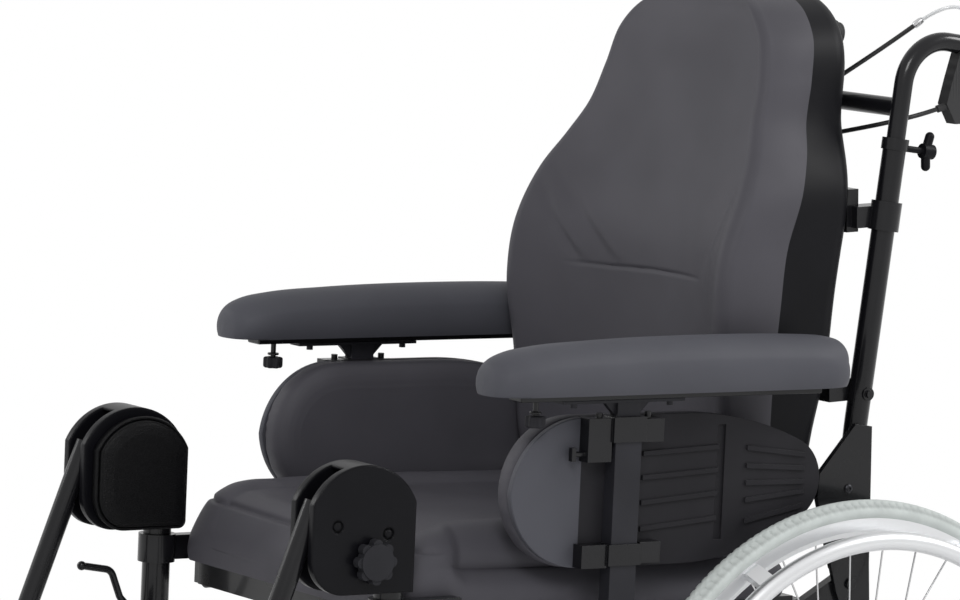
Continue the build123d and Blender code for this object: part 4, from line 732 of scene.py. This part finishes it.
def back_grid(rows):
    """Back cushion: level sections with side wings, a hollow middle and a flat rear."""
    z, wide, wing, middle, rim = rows.T
    nose = 0.055 * wide + 3.0
    tip = wide - nose
    side = (rim + wing + 12.0) / 2
    heel, cheek = pairs(wide - 2.0, rim), pairs(wide - 1.5, wing + 9.0)
    inner = tip - 0.3 * nose
    flat = section(
        line(pairs(2.0 - wide, rim), heel, 40),
        [(heel, pairs(wide + 1.0, side), cheek, 14),
         (cheek, pairs(tip + 0.5 * nose, wing + 1.6), pairs(inner, wing), 18)],
        (pairs(inner, wing), pairs(0, middle), pairs(-inner, wing), 90))
    height = np.broadcast_to(z[:, None], flat.shape[:2])
    return np.stack([flat[..., 0], flat[..., 1], height], -1)


class CHAIR_OT_seat_cushion(bpy.types.Operator):
    """Make the seat cushion with its rolled front and thigh bolsters."""

    bl_idname = "chair.seat_cushion"
    bl_label = "Seat cushion"

    def execute(self, context):
        grid = seat_grid(spread(SEAT_ROWS, 420))
        x, z = grid[..., 0], grid[..., 2]
        front = np.clip((SEAT_SEAM_Y - grid[..., 1]) / 20.0, 0.0, 1.0)
        seam = 2.6 * np.exp(-((z - SEAT_SEAM_Z - SEAT_SEAM_RISE * (x / 200.0) ** 2) / 2.2) ** 2)
        grid[..., 2] -= front * seam
        grid[..., 1] += front * seam
        cushion("Seat_cushion", leaned(grid), "seat", "seat_cushion")
        return {"FINISHED"}


class CHAIR_OT_back_cushion(bpy.types.Operator):
    """Make the back cushion with its wings, hollow and rounded top."""

    bl_idname = "chair.back_cushion"
    bl_label = "Back cushion"

    def execute(self, context):
        grid = back_grid(spread(BACK_ROWS, 380))
        x, z = grid[..., 0], grid[..., 2]
        front = np.clip((-20.0 - grid[..., 1]) / 15.0, 0.0, 1.0)
        folds = crease(x, z, LUMBAR_SEAM, 1.8, 2.2)
        for path, width, depth in BACK_FOLDS:
            folds += crease(x, z, path, width, depth)
        grid[..., 1] += front * folds
        cushion("Back_cushion", grid, "back", "back_cushion")
        return {"FINISHED"}


# ---- side guards
def guard_outline(front, shoulder, inset):
    """Oval outlines in (y, z), one per inset: a round nose, a level middle and a tail that tapers."""
    top, low, mid = 693.0 - inset, 537.0 + inset, 615.0
    nose, rear, middle = front + inset, -25.0 - inset, -200.0
    tail = rear - 24.0
    up, down = mid + 44.0 - inset / 2, mid - 36.0 + inset / 2
    run = shoulder - nose
    return np.concatenate([
        line(pairs(shoulder, top), pairs(middle, top), 30),
        arc(pairs(middle, top), pairs(middle + 76.0, top - 8.0), pairs(tail, up), 26),
        arc(pairs(tail, up), pairs(rear, mid + 4.0), pairs(tail, down), 22),
        arc(pairs(tail, down), pairs(middle + 76.0, low + 10.0), pairs(middle, low), 26),
        line(pairs(middle, low), pairs(shoulder, low), 30),
        arc(pairs(shoulder, low), pairs(nose + BULGE * run, low + BULGE * (mid - low)), pairs(nose, mid), 22),
        arc(pairs(nose, mid), pairs(nose + BULGE * run, top - BULGE * (top - mid)), pairs(shoulder, top), 22),
    ], 1)


# rows of a pad's or cover's profile: share of the depth, inset of the outline, scale
SIDE_PAD_PROFILE = (
    (0, 5, 0.9), (0, 3, 1), (0.08, 0.8, 1), (0.22, 0, 1), (0.42, 0.4, 1), (0.6, 2, 1), (0.74, 5.5, 1),
    (0.84, 10.5, 1), (0.91, 17, 1), (0.955, 26, 1), (0.98, 30, 0.84), (0.995, 30, 0.6), (1, 30, 0.3),
    (1, 30, 0.05),
)
COVER_PROFILE = (
    (0, 3, 1), (0, 1.6, 1), (0.12, 1, 1), (0.5, 1, 1), (0.85, 1, 1), (0.97, 1.8, 1), (1, 4.5, 1), (1, 30, 1),
)
COVER_REAR = -328.0


class CHAIR_OT_side_pads(bpy.types.Operator):
    """Make the oval side pads and the half-round covers in front of the guards."""

    bl_idname = "chair.side_pads"
    bl_label = "Side pads"

    def execute(self, context):
        pad = pillow(lambda inset: guard_outline(-410.0, -331.0, inset), spread(SIDE_PAD_PROFILE, 46),
                     (GUARD_X, SIDE_PAD_INNER))
        nose = np.clip((-330.0 - pad[..., 1]) / 50.0, 0.0, 1.0)
        seam = np.exp(-((GUARD_X - 9.0 - pad[..., 0]) / 8.0) ** 2)
        z = pad[..., 2]
        pad[..., 1] += 0.9 * nose * seam * np.sin(0.42 * z + 2.0 * np.sin(0.07 * z))
        cover = pillow(lambda inset: guard_outline(-413.0, -320.0, inset), COVER_PROFILE,
                       (GUARD_X + 1.0, GUARD_X + 9.0))
        cover[..., 1] = np.minimum(cover[..., 1], COVER_REAR)
        for name, side in SIDES:
            node = "side_guard_pads" if side > 0 else None
            cushion("Side_pad_" + name, seated(pad, side), "seat", node)
            piece("Front_cover_" + name, [seated(cover, side)], "slate leatherette", "seat",
                  math.radians(35))
        return {"FINISHED"}


# ---- armrests
# y, half width at the bottom, widest, shoulder z, top z
ARM_ROWS = (
    (-456, 2, 3, 731, 733), (-455, 8, 11, 736, 741), (-452, 17, 21, 740, 750), (-444, 25, 29.5, 743, 757),
    (-428, 31, 35.5, 746, 763), (-400, 33.5, 37.5, 749, 767.5), (-330, 34, 37.5, 752, 772),
    (-200, 34, 37.5, 754, 775), (-66, 33.5, 37.5, 753, 773), (-36, 30, 34.5, 750, 770.5),
    (-19, 22, 26.5, 746, 766), (-11, 12, 16, 742, 757), (-8, 5, 8, 739, 745), (-7, 1.5, 2.5, 731, 733),
)
# thickness of the steel strip under the pad
ARM_STRIP = 7.5


def arm_grid(rows):
    """Arm pad: sections of a flat base, bowed sides, round shoulders and a crowned top."""
    y, base, wide, shoulder, top = rows.T
    edge = wide - 3.0
    mid_z = (PAD_BOTTOM + shoulder) / 2
    flat = section(
        line(pairs(-base, PAD_BOTTOM), pairs(base, PAD_BOTTOM), 14),
        [(pairs(base, PAD_BOTTOM), pairs(wide, mid_z), pairs(edge, shoulder), 14)],
        (pairs(edge, shoulder), pairs(0, top), pairs(-edge, shoulder), 40))
    return stood(flat, y) + (POST_X, 0.0, 0.0)


class CHAIR_OT_arm_pads(bpy.types.Operator):
    """Make the arm pads with their steel strips and thumb screws."""

    bl_idname = "chair.arm_pads"
    bl_label = "Arm pads"

    def execute(self, context):
        pad = arm_grid(spread(ARM_ROWS, 150))
        low = PAD_BOTTOM - ARM_STRIP
        strip = bar((POST_X - 12.0, -418.0, low), (POST_X + 12.0, -42.0, PAD_BOTTOM), 1.2)
        start = np.array((POST_X, -392.0, low - 27.0))
        shank = turned(((10.0, 2.9), (27.0, 2.9)), start, (0, 0, 1), 16)
        washer = turned(((14.0, 5.4), (14.4, 6.2), (16.0, 6.2), (16.5, 5.4)), start, (0, 0, 1), 24)
        around = np.linspace(0.0, 2 * math.pi, 48, endpoint=False)
        knob = turned(((0.0, 0.55), (0.0, 0.82), (1.2, 0.97), (3.0, 1.0), (10.0, 1.0), (11.4, 0.94),
                       (12.0, 0.8), (12.0, 0.35)), (0, 0, 0), (0, 0, 1), 48)
        knob[..., :2] *= (9.3 + 1.3 * np.cos(6 * around))[None, :, None]
        for name, side in SIDES:
            body = "arm_pad_" + name
            cushion("Arm_pad_" + name, seated(pad, side), body, body, "slate leatherette")
            piece("Arm_strip_" + name, [seated(g, side) for g in (strip, shank, washer)], "gloss black", body)
            piece("Thumb_screw_" + name, [seated(knob + start, side)], "knob plastic", body)
        return {"FINISHED"}


# ---- legrests
def knee_outline(inset):
    """Knee pad outlines in (y, z), one per inset: an arched top, straight sides, a round front corner."""
    front, back = KNEE[0] - 48.0 + inset, KNEE[0] + 62.0 - inset
    low, crown = KNEE[1] - 63.0 + inset, KNEE[1] + 57.0 - inset
    half = (back - front) / 2
    radius = half + 6.0
    shoulder = crown - radius + np.sqrt(radius**2 - half**2)
    toe = 37.0 - inset
    bow = BULGE * toe
    return np.concatenate([
        arc(pairs(front, shoulder), pairs((front + back) / 2, crown), pairs(back, shoulder), 40),
        line(pairs(back, shoulder), pairs(back, low + 6.0), 16),
        arc(pairs(back, low + 6.0), pairs(back - 1.8, low + 1.8), pairs(back - 6.0, low), 6),
        line(pairs(back - 6.0, low), pairs(front + toe, low), 12),
        arc(pairs(front + toe, low), pairs(front + bow, low + bow), pairs(front, low + toe), 18),
        line(pairs(front, low + toe), pairs(front, shoulder), 12),
    ], 1)


KNEE_PROFILE = (
    (0, 5, 0.9), (0, 2, 1), (0.12, 0.6, 1), (0.3, 0, 1), (0.44, 0.8, 1), (0.5, 3.2, 1), (0.56, 3.6, 1),
    (0.66, 3.4, 1), (0.78, 6, 1), (0.88, 11, 1), (0.95, 17, 1), (0.985, 20, 0.8), (1, 20, 0.5), (1, 20, 0.06),
)
KNEE_PAD_DEPTH = 20.0
# the piping's place: how far in from the unit's inner face, and from the pad's outline
KNEE_PIPING_X = 10.6
KNEE_PIPING_INSET = 1.2


class CHAIR_OT_knee_pads(bpy.types.Operator):
    """Make the grained leather knee pads with their piping."""

    bl_idname = "chair.knee_pads"
    bl_label = "Knee pads"

    def execute(self, context):
        pad = pillow(knee_outline, spread(KNEE_PROFILE, 44), (KNEE_INNER_X, KNEE_INNER_X - KNEE_PAD_DEPTH))
        edge = knee_outline(np.array([KNEE_PIPING_INSET]))[0]
        path = np.column_stack([np.full(len(edge), KNEE_INNER_X - KNEE_PIPING_X), edge])
        cord = swept(path, ring(look().piping * 1000.0, 10), (1.0, 0.0, 0.0), closed=True)
        for name, side in SIDES:
            body = "legrest_" + name
            cushion("Knee_pad_" + name, seated(pad, side), body, "knee_pad_" + name, "knee leather")
            piece("Knee_piping_" + name, [(seated(cord, side), True)], "knee leather", body,
                  SOFT_FOLD)
        return {"FINISHED"}


# calf pad in the leg layout: its tube's y, its middle's z, its half width, its gap to the tube's middle, and
# its back and depth
CALF_TUBE_Y = -50.0
CALF_Z = -215.0
CALF_HALF_WIDTH = 59.0
CALF_GAP = 19.0
CALF_BACK = CALF_TUBE_Y + 20.0
CALF_DEPTH = 27.0


def calf_outline(inset):
    """Calf pad outlines, one per inset: rectangles with round corners, in (x, z) about the pad's middle. The
    left half is the right half turned about the middle."""
    w, h, r = CALF_HALF_WIDTH - inset, 47.5 - inset, 16.0
    k = BULGE * r
    half = np.concatenate([
        line(pairs(w, r - h), pairs(w, h - r), 12),
        arc(pairs(w, h - r), pairs(w - k, h - k), pairs(w - r, h), 8),
        line(pairs(w - r, h), pairs(r - w, h), 14),
        arc(pairs(r - w, h), pairs(k - w, h - k), pairs(-w, h - r), 8),
    ], 1)
    return np.concatenate([half, -half], 1)


CALF_PROFILE = (
    (0, 20, 0.4), (0, 12, 0.8), (0.01, 9, 1), (0.1, 4, 1), (0.25, 0.8, 1), (0.4, 0, 1), (0.6, 0.6, 1),
    (0.78, 3, 1), (0.9, 8, 1), (0.965, 14, 1), (0.99, 18, 0.8), (1, 18, 0.5), (1, 18, 0.05),
)


class CHAIR_OT_calf_pads(bpy.types.Operator):
    """Make the calf pads and the arms that clip them round the leg tubes."""

    bl_idname = "chair.calf_pads"
    bl_label = "Calf pads"

    def execute(self, context):
        stacked = pillow(calf_outline, spread(CALF_PROFILE, 40), (CALF_BACK + CALF_DEPTH, CALF_BACK))
        pad = at_knee(np.stack([stacked[..., 1] - CALF_GAP - CALF_HALF_WIDTH, stacked[..., 0],
                                stacked[..., 2] + CALF_Z], -1))
        collar = turned(((-12.0, 11.1), (-12.0, 14.2), (-11.2, 15.0), (11.2, 15.0), (12.0, 14.2),
                         (12.0, 11.1)), (0.0, CALF_TUBE_Y, CALF_Z), (0, 0, 1), 40)
        arm = bar((-49.0, -47.0, CALF_Z - 12.0), (-12.0, -30.5, CALF_Z + 12.0), 2.0, axis=0)
        for name, side in SIDES:
            body = "calf_pad_" + name
            cushion("Calf_pad_" + name, seated(pad, side), body, body)
            piece("Calf_arm_" + name, [(seated(at_knee(collar), side), True), seated(at_knee(arm), side)],
                  "black plastic", body)
        return {"FINISHED"}


# ---- tyres
def tread_grid(blocks, depth):
    """Tyre: a round section carried about the axle and drawn in by its tread. Slanting cosines cut each
    shoulder into blocks, crossed cosines dimple the crown, a groove parts crown and shoulder, and a low lip
    stands below the blocks. The section's angle is 0 at the tread's middle."""
    around = np.linspace(0.0, 2 * math.pi, blocks * 6, endpoint=False)[:, None]
    angle = np.linspace(-math.pi, math.pi, 44, endpoint=False)[None, :]
    lean = np.abs(angle)
    shoulder = np.clip((1.25 - lean) / 0.12, 0.0, 1.0) * np.clip((lean - 0.30) / 0.08, 0.0, 1.0)
    slant = blocks * around + 1.6 * lean + math.pi * (angle > 0)
    cuts = np.clip(0.5 - 1.6 * np.cos(slant) - 1.15, 0.0, 1.0)
    crown = np.clip((0.30 - lean) / 0.05, 0.0, 1.0)
    dimples = np.clip(1.5 * np.cos(blocks * around) * np.cos(9.0 * angle) - 0.6, 0.0, 1.0)
    groove = np.clip(1.0 - np.abs(lean - 0.32) / 0.05, 0.0, 1.0)
    inward = depth * (shoulder * cuts + 0.5 * crown * dimples + 0.7 * groove)
    lip = 0.35 * np.clip(1.0 - np.abs(lean - 1.62) / 0.1, 0.0, 1.0)
    radius = TYRE_TUBE - inward + lip
    out = TYRE_RING + radius * np.cos(angle)
    return np.stack([TYRE_X + radius * np.sin(angle) + 0 * around, out * np.cos(around),
                     WHEEL_RADIUS + out * np.sin(around)], -1)


class CHAIR_OT_tyres(bpy.types.Operator):
    """Make the rear tyres with their block tread."""

    bl_idname = "chair.tyres"
    bl_label = "Rear tyres"

    def execute(self, context):
        grid = tread_grid(look().tread_blocks, look().tread_depth * 1000.0)
        for name, side in SIDES:
            tyre = piece("Rear_tread_" + name, [(sided(grid, side), True)], "tyre rubber",
                         "rear_wheel_" + name, math.radians(50))
            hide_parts("rear_tyre_" + name)
        return {"FINISHED"}


# ---- release cables
# control points: from the trigger housing to behind the shell, from there to the ferrule, on to the bracket
LOWER_CABLE = ((200, 171, 984.5), (196, 152, 979), (178, 124, 971), (140, 112, 962),
               (95, 99, 952), (60, 84, 944))
UPPER_CABLE = ((84, 97.5, 998), (110, 128, 1025), (138, 147, 1047), (172, 172, 1078))
BARE_WIRE = ((172, 172, 1078), (186, 187, 1091.5), (197, 205, 1094), (200, 217, 1084),
             (200, 217, 1071))
CABLE_RADIUS = 2.5
WIRE_RADIUS = 1.1
SLEEVE_RADIUS = 2.0


def smooth_line(points, count):
    """Clamped cubic B-spline whose control points are the points given, by the Cox-de Boor recursion: each
    basis function of a degree is a sum of two of the degree below, weighted by the place between knots."""
    points = np.asarray(points, float)
    spans = len(points) - 3
    knots = np.concatenate([np.zeros(3), np.linspace(0.0, 1.0, spans + 1), np.ones(3)])
    t = np.linspace(0.0, 1.0 - 1e-9, count)[:, None]
    basis = ((knots[:-1] <= t) & (t < knots[1:])).astype(float)
    for degree in (1, 2, 3):
        width = knots[degree:] - knots[:-degree]
        share = np.where(width > 0, (t - knots[:-degree]) / np.where(width > 0, width, 1.0), 0.0)
        basis = share[:, :-1] * basis[:, :-1] + (1.0 - share[:, 1:]) * (width[1:] > 0) * basis[:, 1:]
    return basis @ points


def cable_run(points, radius):
    """Round tube along the smooth line of its control points. The level vector that sets its section's turn
    lies across the cables' heading, so no run comes near it."""
    return swept(smooth_line(points, 49), ring(radius, 16), (1.0, -1.0, 0.0))


class CHAIR_OT_cables(bpy.types.Operator):
    """Make the release cables, which run between the fixed back and the sliding push handles: the bare wire
    and its sleeve ride on the handles.
    """

    bl_idname = "chair.cables"
    bl_label = "Release cables"

    def execute(self, context):
        for name, points in (("Lower_cable", LOWER_CABLE), ("Upper_cable", UPPER_CABLE)):
            housing = piece(name, [cable_run(points, CABLE_RADIUS)], "cable", None)
            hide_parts("release_cables")
            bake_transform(housing)
        for name, radius, finish in (("Bare_wire", WIRE_RADIUS, "bright steel"),
                                     ("Wire_sleeve", SLEEVE_RADIUS, "clear sleeve")):
            piece(name, [cable_run(BARE_WIRE, radius)], finish, "push_handles")
        return {"FINISHED"}


# ---- small fittings
# the outer face of the gussets, and y, z of the screws in it
GUSSET_X = 218.2
GUSSET_SCREWS = ((40.0, 560.0), (44.0, 590.0))


def socket_head(centre, axis, radius, height):
    """Button head with a recess, as a turned profile."""
    rows = ((0.0, 1.0), (0.35, 1.0), (0.75, 0.86), (0.95, 0.62), (1.0, 0.42), (0.55, 0.38), (0.5, 0.1))
    return turned([(h * height, r * radius) for h, r in rows], centre, axis, 24)


class CHAIR_OT_fittings(bpy.types.Operator):
    """Make the gusset screws and the cable's ferrule."""

    bl_idname = "chair.fittings"
    bl_label = "Small fittings"

    def execute(self, context):
        for name, side in SIDES:
            heads = [socket_head((GUSSET_X, y, z), (1, 0, 0), 5.0, 2.8) for y, z in GUSSET_SCREWS]
            piece("Gusset_screws_" + name, sided(heads, side), "dark screw", "back")
        ferrule = turned(((-11.0, 3.2), (-11.0, 3.6), (-10.0, 3.9), (-3.0, 3.9), (-2.4, 3.3), (-1.0, 3.3),
                          (0.0, 2.6)), BARE_WIRE[0], np.subtract(UPPER_CABLE[-1], UPPER_CABLE[-2]), 24)
        piece("Cable_ferrule", [ferrule], "bright steel", "push_handles")
        return {"FINISHED"}


# ---- studio
# name, place, side and power of each lamp, which all face the same point
LAMPS = (("Key", (3.2, -2.0, 3.6), 1.4, 70.0), ("Fill", (-3.6, -2.6, 2.6), 1.2, 34.0),
         ("Rear", (1.6, 3.2, 3.0), 1.2, 60.0))
LAMP_AIM = Vector((0.0, 0.0, 0.65))
# strength of the world's light on the chair, and what reflections see on top of it
WORLD_LIGHT = 0.62
WORLD_SHINE = 0.18
FLOOR_RADIUS = 14.0
# the camera looks at a point of the chair layout, from a turn about it, a rise and a distance in metres
CAMERA_TARGET = (0.0, -278.0, 790.0)
CAMERA_TURN = math.radians(57.0)
CAMERA_RISE = math.radians(7.4)
CAMERA_AWAY = 6.079
SENSOR = 36.0
FOCAL_PIXELS = 5770.0
PICTURE_WIDTH = 960.0


class CHAIR_OT_stage(bpy.types.Operator):
    """Make the floor, the lamps, the world and the camera."""

    bl_idname = "chair.stage"
    bl_label = "Stage"

    def execute(self, context):
        scene = context.scene
        angle = np.linspace(0.0, 2 * math.pi, 96, endpoint=False)
        rim = np.column_stack([FLOOR_RADIUS * np.cos(angle), FLOOR_RADIUS * np.sin(angle), np.zeros(96)])
        mesh = bpy.data.meshes.new("Floor")
        mesh.from_pydata(rim.tolist(), [], [list(range(96))])
        floor = bpy.data.objects.new("Floor", mesh)
        scene.collection.objects.link(floor)
        mesh.materials.append(bpy.data.materials["studio floor"])
        for lamp in LAMPS:
            self.lamp(*lamp)
        self.world(scene)
        turn, rise = CAMERA_TURN, CAMERA_RISE
        back = np.array((math.sin(turn) * math.cos(rise), -math.cos(turn) * math.cos(rise), math.sin(rise)))
        camera = bpy.data.cameras.new("Camera")
        camera.sensor_width = SENSOR
        camera.lens = SENSOR * FOCAL_PIXELS / PICTURE_WIDTH
        camera.clip_end = 100.0
        eye = bpy.data.objects.new("Camera", camera)
        scene.collection.objects.link(eye)
        eye.location = Vector(chair(CAMERA_TARGET) + back * CAMERA_AWAY)
        eye.rotation_euler = Vector(-back).to_track_quat("-Z", "Y").to_euler()
        scene.camera = eye
        scene.view_settings.view_transform = "Standard"
        return {"FINISHED"}

    def lamp(self, name, place, size, power):
        """A square soft lamp that faces the chair."""
        light = bpy.data.lights.new(name, "AREA")
        light.size = size
        light.energy = power
        obj = bpy.data.objects.new(name, light)
        bpy.context.scene.collection.objects.link(obj)
        obj.location = place
        obj.rotation_euler = (LAMP_AIM - Vector(place)).to_track_quat("-Z", "Y").to_euler()

    def world(self, scene):
        """Even light: plain white to the camera and through clear pieces, a little duller in reflections and
        duller again where it lights the chair."""
        world = bpy.data.worlds.new("Studio")
        scene.world = world
        sky = Nodes(world)
        camera, clear, glossy = (sky.add("ShaderNodeLightPath", output=ray) for ray in (
            "Is Camera Ray", "Is Transmission Ray", "Is Glossy Ray"))
        strength = camera.maths("MAXIMUM", clear).maths("MAXIMUM", WORLD_LIGHT + glossy * WORLD_SHINE)
        light = sky.add("ShaderNodeBackground", inputs={"Color": (1, 1, 1, 1), "Strength": strength})
        sky.add("ShaderNodeOutputWorld", inputs={"Surface": light})


STEPS = (CHAIR_OT_finishes, CHAIR_OT_seat_cushion, CHAIR_OT_back_cushion, CHAIR_OT_side_pads,
         CHAIR_OT_arm_pads, CHAIR_OT_knee_pads, CHAIR_OT_calf_pads, CHAIR_OT_tyres, CHAIR_OT_cables,
         CHAIR_OT_fittings, CHAIR_OT_stage)


class CHAIR_PT_panel(bpy.types.Panel):
    """Sidebar panel with the chair's settings and steps."""

    bl_idname = "CHAIR_PT_panel"
    bl_label = "Wheelchair"
    bl_space_type = "VIEW_3D"
    bl_region_type = "UI"
    bl_category = "Wheelchair"

    def draw(self, context):
        for name in ChairLook.__annotations__:
            self.layout.prop(context.scene.chair_look, name)
        for step in STEPS:
            self.layout.operator(step.bl_idname)


CLASSES = (ChairLook, *STEPS, CHAIR_PT_panel)


def register():
    for cls in CLASSES:
        bpy.utils.register_class(cls)
    bpy.types.Scene.chair_look = PointerProperty(type=ChairLook)


def unregister():
    del bpy.types.Scene.chair_look
    for cls in reversed(CLASSES):
        bpy.utils.unregister_class(cls)


def main():
    """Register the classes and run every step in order."""
    register()
    for step in STEPS:
        group, name = step.bl_idname.split(".")
        getattr(getattr(bpy.ops, group), name)()


if __name__ == "__main__":
    main()
